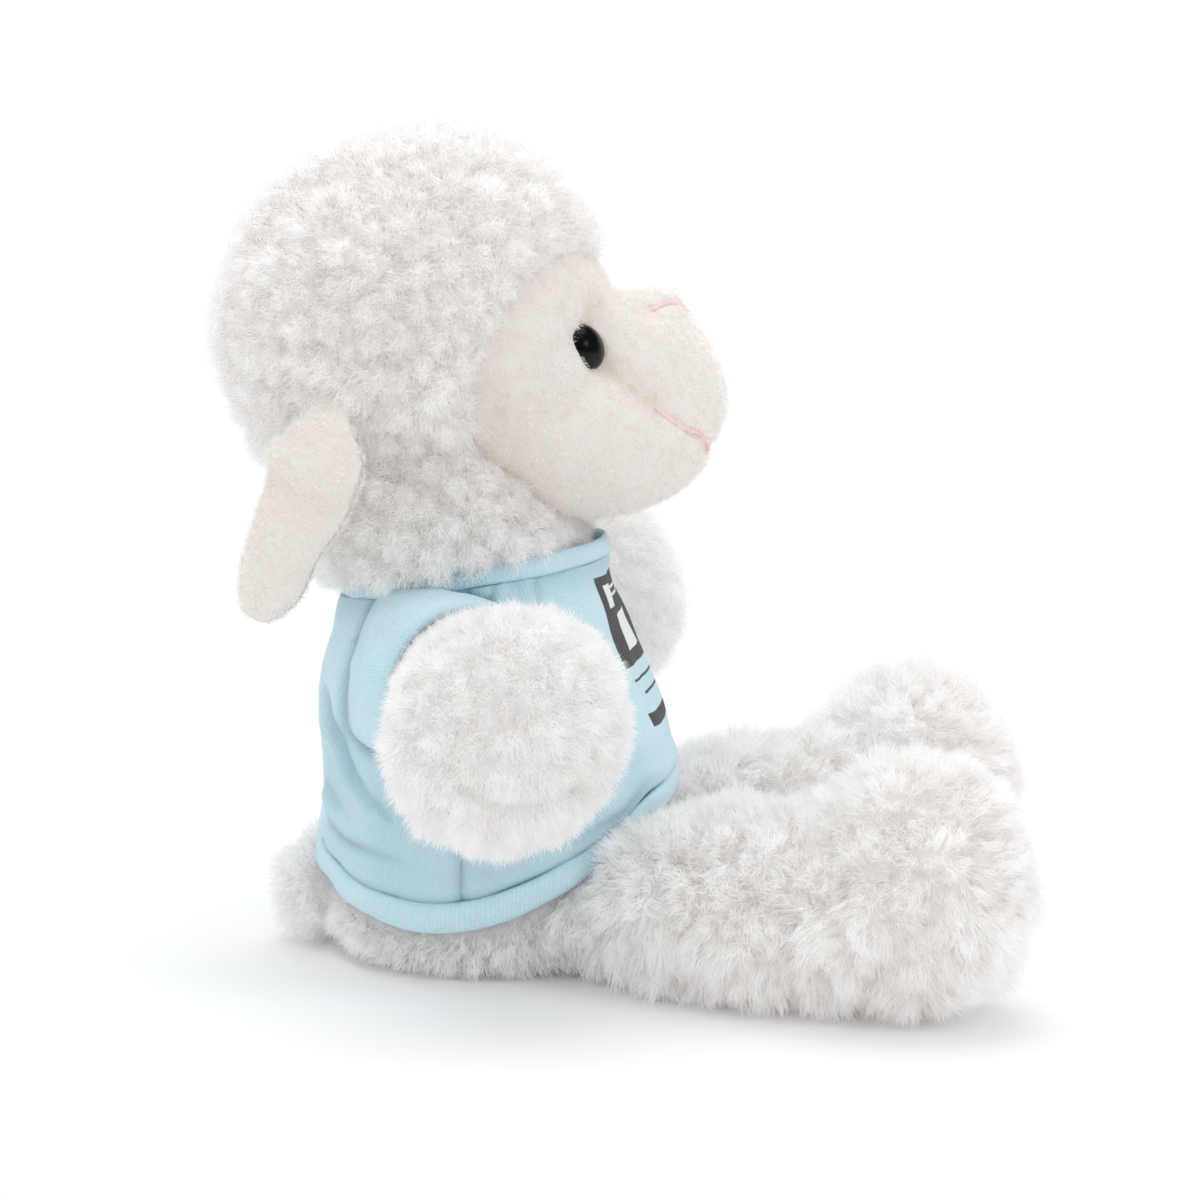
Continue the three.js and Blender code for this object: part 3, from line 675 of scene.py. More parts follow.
def makePileTree():
    tree, given = openGroup("pile", {
        "Skin": "Geometry", "Tufts": "Collection", "Tufts per square metre": "Float", "Height": "Float",
        "Ruffle": "Float", "Ruffle size": "Float", "Seed": "Int", "Wool": "Material"}, "Pile")

    def named(name, kind="FLOAT"):
        return addNode(tree, "GeometryNodeInputNamedAttribute", {"Name": name}, data_type=kind).outputs[0]

    def drawn(offset, low, high, kind="FLOAT"):
        return randomIn(tree, plus(tree, given["Seed"], offset), low, high, kind)

    pile = named("pile")
    density = times(tree, given["Tufts per square metre"], remap(tree, pile, 0.02, 0.3))
    points = addNode(tree, "GeometryNodeDistributePointsOnFaces",
                     {"Mesh": given["Skin"], "Density": density, "Seed": given["Seed"]}).outputs
    # the way a tuft stands: off the skin, with the lay and a soft ruffle
    waves = addNode(tree, "ShaderNodeTexNoise", {
        "Vector": addNode(tree, "GeometryNodeInputPosition").outputs[0],
        "Scale": maths(tree, "DIVIDE", 1.0, given["Ruffle size"]), "Detail": 1.0}).outputs["Color"]
    ruffle = scaled(tree, vectorMaths(tree, "SUBTRACT", waves, (0.5, 0.5, 0.5)),
                    times(tree, given["Ruffle"], 4.0))
    lay = vectorMaths(tree, "ADD", named("lay", "FLOAT_VECTOR"), ruffle)
    way = vectorMaths(tree, "ADD", points["Normal"], lay)
    upright = addNode(tree, "FunctionNodeAlignRotationToVector", {"Vector": way}, axis="Z").outputs[0]
    spin = addNode(tree, "FunctionNodeAxisAngleToRotation",
                   {"Axis": (0, 0, 1), "Angle": drawn(1, 0, 2 * math.pi)}).outputs[0]
    turned = addNode(tree, "FunctionNodeRotateRotation",
                     {"Rotation": upright, "Rotate By": spin}, rotation_space="LOCAL").outputs[0]
    onCrest = remap(tree, named("crest"), 0, 1, 0.75, 1.1)
    tall = times(tree, times(tree, given["Height"], pile),
                 times(tree, onCrest, drawn(2, 0.8, 1.15)))
    size = addNode(tree, "ShaderNodeCombineXYZ", enumerate((drawn(3, 0.8, 1.2), drawn(4, 0.8, 1.2), tall)))
    kinds = addNode(tree, "GeometryNodeCollectionInfo",
                    {"Collection": given["Tufts"], "Separate Children": True, "Reset Children": True})
    placed = addNode(tree, "GeometryNodeInstanceOnPoints", {
        "Points": points["Points"], "Instance": kinds.outputs[0], "Pick Instance": True,
        "Instance Index": drawn(5, 0, tuftKinds - 1, "INT"), "Rotation": turned, "Scale": size.outputs[0]})
    joined = addNode(tree, "GeometryNodeJoinGeometry")
    for geometry in (given["Skin"], placed.outputs[0]):
        tree.links.new(geometry, joined.inputs[0])
    return closeGroup(tree, joined.outputs[0], given["Wool"])


tufts = {style: makeTufts(style) for style in tuftStyles}
pileTree = makePileTree()


def growPile(skin, name, pile, seed, body, nodes, slot="wool"):
    skin.data.materials.clear()
    thin = 1
    grown = throughGroup(skin, name, pileTree, {
        "Tufts": tufts[pile["tufts"]], "Tufts per square metre": pile["density"] * 1e6 * thin,
        "Height": pile["height"], "Ruffle": pile["ruffle"], "Ruffle size": pile["ruffleSize"] * mm,
        "Seed": seed, "Wool": {"wool": wool, "velour": velour}[slot]})
    for spare in ("pile", "lay"):
        grown.data.attributes.remove(grown.data.attributes[spare])
    # no fibre goes through the ground
    ground = 0.3
    points = pointsOf(grown)
    low = points[:, 2] < ground
    points[low, 2] = ground + 0.05 * (points[low, 0] % 1)
    setPoints(grown, points)
    dressed(grown, body, nodes)
    print(f"stage: {name} has {len(grown.data.polygons)} faces")


def scatter(points, apart, seed):
    # some of the points, none nearer to another than apart
    draw = np.random.default_rng(seed)
    kept = np.empty((len(points), 3))
    count = 0
    for spot in points[draw.permutation(len(points))[:9000]]:
        if count == 0 or ((kept[:count] - spot) ** 2).sum(1).min() > apart * apart:
            kept[count] = spot
            count += 1
    return kept[:count], draw.uniform(0.6, 1, count)


# size, height and weight of the large puffs and of the small ones on them
puffLayers = ((1, 1, 0.7), (0.42, 0.32, 0.3))


def puffed(skin, puffs, share, seed, lay):
    # lifts a skin into soft puffs with creases between them; the fibres of a puff gather towards its middle
    points, normals = pointsOf(skin), normalsOf(skin)
    lift, tone = np.zeros(len(points)), np.zeros(len(points))
    lay = lay + np.zeros((len(points), 3))
    for layer, (finer, lower, weight) in enumerate(puffLayers):
        size = puffs["size"] * finer
        warp = np.stack([softNoise(points, size * 0.9, seed + 5 * layer + i) for i in range(3)], -1)
        spots = (points + warp * size * 0.13) * (1, 1, 1 / puffs["stretch"])
        cells, heights = scatter(spots, size * 0.8, seed + layer)
        tree = KDTree(len(cells))
        for i, cell in enumerate(cells):
            tree.insert(cell, i)
        tree.balance()
        near = [tree.find_n(spot, 2) for spot in spots]
        gap = np.array([second[2] - first[2] for first, second in near]) / size
        owner = [first[1] for first, _ in near]
        lay += (cells[owner] - spots) * (share * puffs["gather"] * weight / size)[:, None]
        dome = (1 - (1 - np.clip(gap, 0, 1)) ** 2.4) * heights[owner]
        lift += dome * (puffs["height"] * lower)
        tone += dome * weight
    setPoints(skin, points + normals * (lift * share)[:, None])
    # crest: how high a point stands on its puffs; it sets the tufts' heights, and the wool paints shade from it into
    # the creases between the puffs, darker still where share is small, as at the edges of the pile and near the floor
    setAttribute(skin, "crest", np.clip(tone * 1.3, 0, 1) * (0.3 + 0.7 * share))
    setAttribute(skin, "lay", lay)


def dressed(piece, body, nodes):
    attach(piece, body)
    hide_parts(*nodes)


# stuffing a skin that starts a little small

stuffing = {
    "steps": 20, "cap": 2.5, "slack": 1.0,
    "cloth": {"quality": 5, "mass": 0.001, "tension_stiffness": 0.5, "compression_stiffness": 0.5,
              "shear_stiffness": 0.5, "use_pressure": True, "uniform_pressure_force": 18.0},
}


def stuffed(piece, name, voxel):
    modify(piece, "REMESH", mode="VOXEL", voxel_size=voxel * mm)
    work = settle(piece, name)
    start = pointsOf(work)
    cloth = modify(work, "CLOTH")
    for key, value in stuffing["cloth"].items():
        setattr(cloth.settings, key, value)
    cloth.settings.effector_weights.gravity = 0
    cloth.point_cache.frame_start, cloth.point_cache.frame_end = 1, stuffing["steps"]
    for step in range(1, stuffing["steps"] + 1):
        scene.frame_set(step)
    full = settle(work, name)
    scene.frame_set(1)
    moved = pointsOf(full) - start
    reach = np.linalg.norm(moved, axis=1, keepdims=True)
    setPoints(full, start + moved * np.minimum(1, stuffing["cap"] / np.maximum(reach, 1e-9)))
    print(f"stage: {name} stuffed, moved {reach.mean():.1f} mm")
    return full


def refined(piece, name, voxel, smoothing, levels=1):
    modify(piece, "REMESH", mode="VOXEL", voxel_size=voxel * mm)
    modify(piece, "SMOOTH", factor=0.5, iterations=smoothing)
    if levels:
        modify(piece, "SUBSURF", levels=levels, render_levels=levels)
    return settle(piece, name)


# head

head = {
    "hoodHeart": np.array((0, 12, 140)),
    "skull": ((0, 17, 157), (46, 48.5, 47.5)),
    "nape": ((0, 8, 112), (38.5, 37, 34)),
    "crown": ((0, 5.5, 166.5), (37, 36, 38.5)),
    "faceHeart": np.array((0, -10, 146)),
    "brow": ((0, 11, 152), (40, 47, 41)),
    "jaw": ((0, -25, 132), (31, 33, 22.5)),
    "muzzle": ((0, -33, 140), (21, 28, 26.5)),
    "blend": 7,
    "noseTip": np.array((0, -46, 164.5)), "noseHeight": 2.6, "noseWidth": 9,
    "opening": [((18, -42, 146), (33, 45, 35)), ((-18, -42, 146), (33, 45, 35)), ((0, -42, 132), (39, 46, 28.5))],
    "cheekNap": (-32, -15, 133), "napReach": 15,
    "pileDepth": 3.4,
    "pile": {"tufts": "curly", "density": 0.45, "height": 0.95, "ruffle": 0.34, "ruffleSize": 5},
    "puffs": {"size": 6.5, "height": 3.4, "stretch": 1.25, "gather": 1.4},
    "lay": (0, 0.05, -0.28), "faceLay": (0, 0.25, -0.45),
}


def hoodRadius(ways, grow):
    skull, nape, crown = (rayToEllipsoid(head["hoodHeart"], ways, centre, np.add(radii, grow))
                          for centre, radii in (head["skull"], head["nape"], head["crown"]))
    return softMax(softMax(skull, nape, head["blend"]), crown, head["blend"])


def faceRadius(ways, grow):
    brow, jaw, muzzle = (rayToEllipsoid(head["faceHeart"], ways, *lobe)
                         for lobe in (head["brow"], head["jaw"], head["muzzle"]))
    form = softMax(softMax(brow, jaw, head["blend"]), muzzle, head["blend"] / 2)
    apart = np.linalg.norm(head["faceHeart"] + ways * form[:, None] - head["noseTip"], axis=1)
    return form + grow + head["noseHeight"] * bell(apart, head["noseWidth"])


def openingShare(points):
    # below 1 inside the opening of the hood, measured as a share of its size
    return np.min([np.linalg.norm((points - centre) / radii, axis=1)
                   for centre, radii in head["opening"]], axis=0)


def makeHeadWool():
    ways, faces = ballPoints(7)
    outer = head["hoodHeart"] + ways * hoodRadius(ways, 0)[:, None]
    share = openingShare(outer)
    points = head["hoodHeart"] + ways * hoodRadius(ways, -head["pileDepth"])[:, None]
    points += ways * (softNoise(points, 18, 3) * 0.6)[:, None]
    # behind the face the skin stays under it
    fromFace = points - head["faceHeart"]
    faceWays = unit(fromFace)
    under = faceRadius(faceWays, -3.0)
    deep = (np.linalg.norm(fromFace, axis=1) > under) & (share < 1.0)
    points[deep] = head["faceHeart"] + faceWays[deep] * under[deep][:, None]
    skin = meshObject("head_skin", liftedOffNeck(points, 1.2), faces)
    pile = smoothStep(1.0, 1.05, share) * (0.72 + 0.28 * smoothStep(1.03, 1.25, share))
    pile *= smoothStep(-7, -4, aboveNeck(outer))
    puffed(skin, head["puffs"], pile, 121, head["lay"])
    setAttribute(skin, "pile", pile)
    growPile(skin, "head_wool", head["pile"], 21, "head", ("head_hood", "head_stuffing"))


makeHeadWool()

eyes = {
    "radius": 6.0, "height": 4.6, "towards": (21.5, -20.5, 8.5), "look": (0.36, -0.84, 0.4), "sink": 1.2,
    # radius and height of the rows of the stem and the rim
    "stem": [(1.7, -13), (1.7, -1.2), (5.5, -1.0), (5.9, -0.7)],
    "dent": -1.7, "dentWidth": 7.5, "lid": 4.7, "lidWidth": 5.3, "lidFrom": (5.1, 5.5, -4.9),
}


def eyePlace(side):
    flip = np.array((side, 1, 1))
    towards, look = unit(np.array(eyes["towards"]) * flip), unit(np.array(eyes["look"]) * flip)
    return head["faceHeart"] + towards * faceRadius(towards[None], 0)[0] - look * eyes["sink"], look


faceLines = {
    # the drawn lines of the face on its right half, and the valley that sets the muzzle off
    "nose": [(-8.6, -44.1, 162.7), (-6.8, -45.6, 163.4), (-4.3, -47.8, 163.7), (-1.8, -50.2, 163.0),
             (0, -52.0, 161.8)],
    "lip": [(0, -54.6, 158.6), (0, -57.2, 153.5), (0, -59.2, 148), (0, -60.3, 142), (0, -60.3, 136), (0, -59, 130),
            (0, -58.2, 127.2)],
    "mouth": [(-20.5, -47.3, 139.6), (-19, -49.8, 137.5), (-16.7, -52.5, 135.4), (-13.4, -55.1, 132.9),
              (-10.1, -56.8, 130.6), (-6.6, -57.7, 128.5), (-3, -58.2, 127.4), (0, -58.3, 127)],
    "valley": [(-15.5, -32, 163.5), (-18, -31.5, 158), (-19.4, -33.2, 151.5), (-20.2, -36.8, 147.9),
               (-21.3, -40.4, 144.6), (-21.6, -44, 141.5), (-20.8, -46.6, 139.8)],
}
# depth and width of the groove along each line
grooves = {"nose": (1.0, 1.3), "lip": (1.3, 2.2), "mouth": (2.0, 1.9), "valley": (3.0, 4.6)}
swells = [
    # middle on the right side, height and width: brow, cheek, side of the muzzle, upper lip
    ((-13, -26, 172), 1.0, 6), ((-27, -31, 140), 1.6, 10), ((-13.5, -48, 150), 1.5, 8), ((-4.5, -59, 138), 1.2, 6),
    # nostril, top of the nose, bridge and forehead
    ((-10.4, -42.4, 162.4), -1.6, 2.6), ((-1.5, -47, 165), 1.9, 4.6), ((-1, -38.5, 166.5), -1.5, 5),
    ((0, -30, 172), -0.9, 5),
]


def spotsAlong(path, step=0.4):
    path = np.asarray(path, float)
    reach = np.concatenate([[0], np.cumsum(np.linalg.norm(np.diff(path, axis=0), axis=1))])
    return throughPoints(np.column_stack([reach, path]), max(int(reach[-1] / step), 4))[1].T


def apartFrom(points, path):
    nearest = np.full(len(points), 1e9)
    for spot in path:
        nearest = np.minimum(nearest, ((points - spot) ** 2).sum(1))
    return np.sqrt(nearest)


def apartFromLine(points, name):
    path = spotsAlong(faceLines[name])
    return np.minimum(apartFrom(points, path), apartFrom(points, mirrored(path)))


def onRight(points):
    return points * np.where(points[:, :1] > 0, (-1, 1, 1), 1)


def makeFace():
    ways, faces = ballPoints(7)
    radius = faceRadius(ways, 0)
    points = head["faceHeart"] + ways * radius[:, None]
    share = openingShare(points)
    sunk = 0.7 + 5.5 * smoothStep(1.0, 1.16, share)
    shade = 0.35 * smoothStep(0.68, 1.0, share) * smoothStep(-40, -10, points[:, 1])
    shade *= 0.3 + 0.7 * smoothStep(162, 142, points[:, 2])
    for side in (right, left):
        seat, _ = eyePlace(side)
        lid = seat + np.array(eyes["lidFrom"]) * (side, 1, 1)
        sunk += eyes["dent"] * bell(apartFrom(points, [seat]), eyes["dentWidth"])
        sunk -= eyes["lid"] * bell(apartFrom(points, [lid]), eyes["lidWidth"])
    for middle, height, wide in swells:
        sunk -= height * bell(apartFrom(onRight(points), [middle]), wide)
    cut = np.zeros(len(points))
    for name, (deep, wide) in grooves.items():
        apart = apartFromLine(points, name)
        cut = np.maximum(cut, deep * bell(apart, wide))
        if name == "valley":
            shade += 0.5 * bell(apart, 3.4)
    points = liftedOffNeck(head["faceHeart"] + ways * (radius - sunk - cut)[:, None], 2.5)
    skin = meshObject("face_form", points, faces)
    # short along the stitched lines, and rougher on the cheeks
    pile = smoothStep(1.1, 1.02, share)
    for name in ("nose", "lip", "mouth"):
        pile *= 0.35 + 0.65 * smoothStep(0.6, 1.8, apartFromLine(points, name))
    rough = 0.12 + 0.88 * bell(apartFrom(onRight(points), [head["cheekNap"]]), head["napReach"])
    puffed(skin, velourPuffs, rough, 171, head["faceLay"])
    setAttribute(skin, "pile", pile)
    setAttribute(skin, "shade", np.clip(shade, 0, 1))
    return skin


face = makeFace()

stitchSizes = {"step": 0.5, "length": 0.85, "thick": 0.46, "slant": 0.5, "proud": 0.45, "even": 9}


def makeStitchTree():
    tree, given = openGroup("stitches", {
        "Line": "Geometry", "Step": "Float", "Length": "Float", "Thick": "Float", "Slant": "Float",
        "Seed": "Int", "Thread": "Material"}, "Stitches")
    line = addNode(tree, "GeometryNodeMeshToCurve", {0: given["Line"]}).outputs[0]
    even = addNode(tree, "GeometryNodeResampleCurve",
                   {"Curve": line, "Length": given["Step"]}, mode="LENGTH").outputs[0]
    tangent = addNode(tree, "GeometryNodeInputTangent").outputs[0]
    ahead = addNode(tree, "FunctionNodeAlignRotationToVector", {"Vector": tangent}, axis="Z").outputs[0]
    wobble = randomIn(tree, given["Seed"], (-1, -1, -1), (1, 1, 1), "FLOAT_VECTOR")
    turned = addNode(tree, "FunctionNodeRotateRotation",
                     {"Rotation": ahead, "Rotate By": scaled(tree, wobble, given["Slant"])}, rotation_space="LOCAL")
    bead = addNode(tree, "GeometryNodeMeshUVSphere", {"Segments": 6, "Rings": 4, "Radius": 1.0})
    size = addNode(tree, "ShaderNodeCombineXYZ", enumerate((given["Thick"], given["Thick"], given["Length"])))
    placed = addNode(tree, "GeometryNodeInstanceOnPoints", {
        "Points": even, "Instance": bead.outputs[0], "Rotation": turned.outputs[0], "Scale": size.outputs[0]})
    return closeGroup(tree, placed.outputs[0], given["Thread"])


stitchTree = makeStitchTree()


def sewLine(name, seed):
    points, edges = [], []
    ground = BVHTree.FromObject(face, bpy.context.evaluated_depsgraph_get())
    even = stitchSizes["even"]
    for path in (faceLines[name], mirrored(faceLines[name]))[:1 if name == "lip" else 2]:
        first = len(points)
        spots = []
        for spot in spotsAlong(path):
            place, normal, _, _ = ground.find_nearest(Vector(spot * mm))
            spots.append((place + normal * stitchSizes["proud"] * mm) / mm)
        # evened out over a few stitches, so that the line runs calmly over the grooves
        spots = np.pad(np.array(spots), ((even, even), (0, 0)), "reflect", reflect_type="odd")
        points += [spots[i:i + 2 * even + 1].mean(0) for i in range(len(spots) - 2 * even)]
        edges += [(i, i + 1) for i in range(first, len(points) - 1)]
    sewn = throughGroup(meshObject(f"{name}_path", points, [], edges=edges), f"{name}_stitches", stitchTree, {
        "Step": stitchSizes["step"] * mm, "Length": stitchSizes["length"] * mm, "Thick": stitchSizes["thick"] * mm,
        "Slant": stitchSizes["slant"], "Seed": seed, "Thread": thread})
    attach(sewn, "head")


for seed, name in enumerate(("nose", "lip", "mouth"), 1):
    sewLine(name, seed)
growPile(face, "face_velour", velourPile, 22, "head", ("face_panel",), "velour")


def makeEye(side):
    name = f"eye_{sideName[side]}"
    seat, look = eyePlace(side)
    turns = [math.radians(90 * i / 16) for i in range(17)]
    dome = [(max(eyes["radius"] * math.cos(turn), 0.05), eyes["height"] * math.sin(turn)) for turn in turns]
    piece = meshObject(f"{name}_dome", *latheAlong(eyes["stem"] + dome, 48, seat, look), eyeGloss)
    facingOut(piece)
    dressed(piece, "head", (name,))


for side in (right, left):
    makeEye(side)
    washer = frame["nodes"][f"eye_washer_{sideName[side]}"]
    washer.data.materials.clear()
    washer.data.materials.append(nylon)
print("stage: head ready")

# ears

ears = {
    "root": np.array((41, 29, 141)), "thickness": 2.0, "gap": 0.35, "turn": 16, "rings": 56, "points": 25,
    "rows": [
        # out, back and down from the root, width, how far the rims curl
        (-1.2, -0.4, 1.5, 8, 0.4), (2.5, 0.2, -2.6, 12, 0.8), (5.4, 1, -7.2, 21, 2), (7.6, 2, -13.4, 26.5, 3.2),
        (8.2, 4.8, -22, 23, 2.6), (7.8, 8.8, -31.2, 18.5, 2), (7.2, 13, -40, 18, 1.6),
        (6.6, 16.2, -46.5, 14.5, 1.1), (6.1, 18.2, -50.6, 7, 0.4),
    ],
    # the soft folds across it: how far down, how deep and how wide
    "folds": [(-13.5, 1.5, 3.4), (-21, -1.5, 4.2), (-30, 0.6, 5)], "rounding": 7, "lay": (0, 0.2, -0.5),
}


def evenedRows(rows, count):
    # the mean of each row and its neighbours, with the rows carried on past both ends
    reach = count // 2
    padded = np.concatenate([rows[:1] * 2 - rows[reach:0:-1], rows, rows[-1:] * 2 - rows[-2:-reach - 2:-1]])
    return np.stack([np.convolve(column, np.ones(count) / count, "valid") for column in padded.T], -1)


def makeEar(side, layer, part):
    steps = np.arange(len(ears["rows"]))
    rows = throughPoints(np.column_stack([steps, ears["rows"]]), ears["rings"])[1].T
    rows = evenedRows(rows, ears["rounding"])
    middles = rows[:, :3] * (side, 1, 1)
    ways = unit(np.gradient(middles, axis=0))
    shares = np.linspace(-1, 1, ears["points"])
    rings = []
    for middle, way, (_, _, height, width, curl) in zip(middles, ways, rows):
        across = unit(np.cross(np.cross((0, 1, 0), way), way))
        outward = unit(np.cross(across, way))
        if outward[0] * side < 0:
            outward = -outward
        fold = sum(deep * bell(height - down, wide) for down, deep, wide in ears["folds"])

        def edge(share, depth):
            lens = math.sqrt(max(1 - (share * share) ** 1.6, 0)) * depth
            lift = -curl * share * share + layer * (ears["gap"] / 2 + lens) + fold * (1 - 0.5 * share)
            return middle + across * share * width / 2 + outward * lift

        rings.append([edge(s, 0) for s in shares] + [edge(s, ears["thickness"]) for s in shares[1:-1][::-1]])
    rings = np.array(rings)
    count = rings.shape[1]
    points = turnZ(rings.reshape(-1, 3), side * ears["turn"]) + ears["root"] * (side, 1, 1)
    points += softNoise(points, 14, 5)[:, None] * 0.18
    body = f"ear_{sideName[side]}"
    name = f"{body}_{part}"
    piece = meshObject(name + "_form", points, tubeFaces(len(rings), count))
    facingOut(piece)
    # the nap stands on the outer face and round the rim, and not between the two panels
    bare = (np.arange(count) < len(shares)) & (np.abs(np.resize(shares, count)) < 0.9)
    setAttribute(piece, "pile", np.tile(np.where(bare, 0.0, 1.0), len(rings)))
    setAttribute(piece, "lay", np.tile(ears["lay"], (len(points), 1)))
    growPile(piece, name + "_velour", velourPile, 71 + layer + 3 * side, body, (name,), "velour")


for side in (right, left):
    for layer, part in ((1, "outer"), (-1, "lining")):
        makeEar(side, layer, part)
print("stage: ears ready")

# torso

hemLine = throughPoints([(-62, 50), (-46, 37.5), (-33, 28), (-17, 19), (8, 13.5), (26, 17), (42, 24), (60, 33)])
torsoWool = {
    "inset": 2.6, "top": 104, "rows": 90, "columns": 180, "heart": np.array((0, -1)),
    # how wide the rings under the seat are
    "seat": [0.05, 0.25, 0.5, 0.75, 0.9, 0.97],
    "pile": {"tufts": "shaggy", "density": 0.40, "height": 0.8, "ruffle": 0.35, "ruffleSize": 6},
    "puffs": {"size": 7, "height": 1.8, "stretch": 1.3, "gather": 1.5},
}


def hemHeight(y):
    return np.interp(y, hemLine[0], hemLine[1][0])


def makeTorso():
    inset, seat, count = torsoWool["inset"], torsoWool["seat"], torsoWool["rows"]
    heights = np.concatenate([[inset] * len(seat), np.linspace(inset, torsoWool["top"], count)])
    shrink = np.concatenate([seat, np.ones(count)])
    angles = np.linspace(0, 2 * np.pi, torsoWool["columns"], endpoint=False)
    rings = torsoPoints(angles[None], heights[:, None] + 0 * angles[None], -inset)
    rings[..., :2] = torsoWool["heart"] + (rings[..., :2] - torsoWool["heart"]) * shrink[:, None, None]
    points = rings.reshape(-1, 3)
    points = points - np.maximum(aboveNeck(points) + 0.4, 0)[:, None] * neckAxis
    skin = meshObject("torso_skin_form", points, tubeFaces(len(heights), len(angles)))
    facingOut(skin)
    below = hemHeight(points[:, 1]) - points[:, 2]
    pile = smoothStep(-1.5, 3, below) * (0.6 + 0.4 * smoothStep(2, 9, below))
    lay = unit(points * (1, 1, 0)) * 0.5 + (0, 0, -0.9)
    puffed(skin, torsoWool["puffs"], pile * smoothStep(2, 5, points[:, 2]), 131, lay)
    setAttribute(skin, "pile", pile)
    growPile(skin, "torso_wool", torsoWool["pile"], 31, "torso", ("torso_skin", "torso_stuffing"))


def makePouch():
    ways, faces = ballPoints(5)
    points = np.array(torso["pouch"]["centre"]) + ways * np.array(torso["pouch"]["radii"])
    points += ways * (softNoise(points, 7, 2) * 0.25)[:, None]
    dressed(meshObject("seat_pouch", points, faces, ticking), "torso", ("bean_pouch",))


makeTorso()
makePouch()
print("stage: torso ready")

# arms

arms = {
    "shoulder": np.array((48.5, -3, 76.5)), "forward": {"right": 34, "left": 33}, "lift": {"right": -16, "left": 11},
    "neckRadius": 18.2, "tip": 51.5, "pileDepth": 3.2, "neckDepth": 2.2,
    # radius and reach along the arm
    "rows": [(20.6, 11.4), (25.4, 14.6), (29, 19.3), (31, 25.5), (30.4, 32.8), (26.8, 40), (19, 46.6), (9, 50.5)],
    "pile": {"tufts": "curly", "density": 0.46, "height": 1.0, "ruffle": 0.30, "ruffleSize": 5},
    "puffs": {"size": 8, "height": 2.2, "stretch": 1.2, "gather": 1.0},
    "crease": 3.6, "creaseWidth": 2.0, "creaseDrop": 7,
}


def armWay(side, lift):
    forward, lift = math.radians(arms["forward"][sideName[side]]), math.radians(lift)
    return np.array((side * math.cos(forward) * math.cos(lift), -math.sin(forward) * math.cos(lift), math.sin(lift)))


def frameAlong(way):
    across = unit(np.cross(way, (0, 0, 1)))
    return across, np.cross(across, way)


def roundedStart(radius, fromAngle, count):
    return [(radius * math.cos(t), radius * math.sin(t)) for t in np.radians(np.linspace(fromAngle, 0, count))]


def makeArm(side):
    name = f"arm_{sideName[side]}"
    way = armWay(side, arms["lift"][sideName[side]])
    across, upright = frameAlong(way)
    depth = arms["pileDepth"] + stuffing["slack"]
    neckRadius = arms["neckRadius"] - arms["neckDepth"] - stuffing["slack"]
    rows = roundedStart(neckRadius, -60, 5) + [(neckRadius, 3.0), (neckRadius, 6.0)]
    shorter = (arms["tip"] - depth) / arms["tip"]
    rows += [(max(radius - depth, 1), reach * shorter) for radius, reach in arms["rows"]]
    rows.append((0.3, arms["tip"] - depth))
    base = arms["shoulder"] * (side, 1, 1)
    piece = meshObject(name + "_form", *latheAlong(rows, 40, base, way))
    facingOut(piece)
    piece = refined(stuffed(piece, "arm", 4), name + "_form", 2.0, 6)
    # the seam across the end of the arm
    points = pointsOf(piece) - base
    along, height = points @ way, points @ upright
    wander = height + arms["creaseDrop"] + 1.2 * np.sin(points @ across / 4)
    seam = bell(wander, arms["creaseWidth"]) * smoothStep(30, 40, along) * smoothStep(20, 14, np.abs(points @ across))
    points -= way * (seam * arms["crease"])[:, None]
    setPoints(piece, points + base)
    lay = np.tile((0, 0, -0.22), (len(points), 1)) - upright * (0.35 * smoothStep(8, -16, height))[:, None]
    lay = lay - np.outer(smoothStep(14, 4, along), way) * 0.7
    lay = lay + np.outer(seam * np.sign(wander) * 0.8, upright)
    # a small share flattens the puffs and darkens their crests, which paints shade into the end seam and into the
    # arm's neck under the cuff
    puffed(piece, arms["puffs"], (0.4 + 0.6 * smoothStep(2, 12, along)) * (1 - seam), 141 + side, lay)
    # the wool fills the cuff and spills over its edge
    pile = smoothStep(-8, -5, along) + 0.6 * bell(along - 5, 4)
    setAttribute(piece, "pile", pile * (1 + 0.35 * smoothStep(6, -14, height)) * (1 - 0.7 * seam))
    growPile(piece, f"{name}_wool", arms["pile"], 41 + side, name, (f"{name}_skin", f"{name}_stuffing"))


for side in (right, left):
    makeArm(side)
print("stage: arms ready")

# legs

legs = {
    "hip": np.array((24, -30, 17)), "reach": 85.5, "splay": {"right": 19, "left": 26},
    "footRadii": np.array((27, 28.5, 33)), "footTilt": 8, "hipRadius": 17, "flat": 0.5, "pileDepth": 3.8,
    # radius and share of the reach
    "rows": [(17.5, 0.1), (20.5, 0.17), (25, 0.34), (26.5, 0.56), (25, 0.8), (18, 1)],
    "pile": {"tufts": "shaggy", "density": 0.375, "height": 1.05, "ruffle": 0.45, "ruffleSize": 9},
    "puffs": {"size": 12, "height": 3.6, "stretch": 1.3, "gather": 1.8},
}


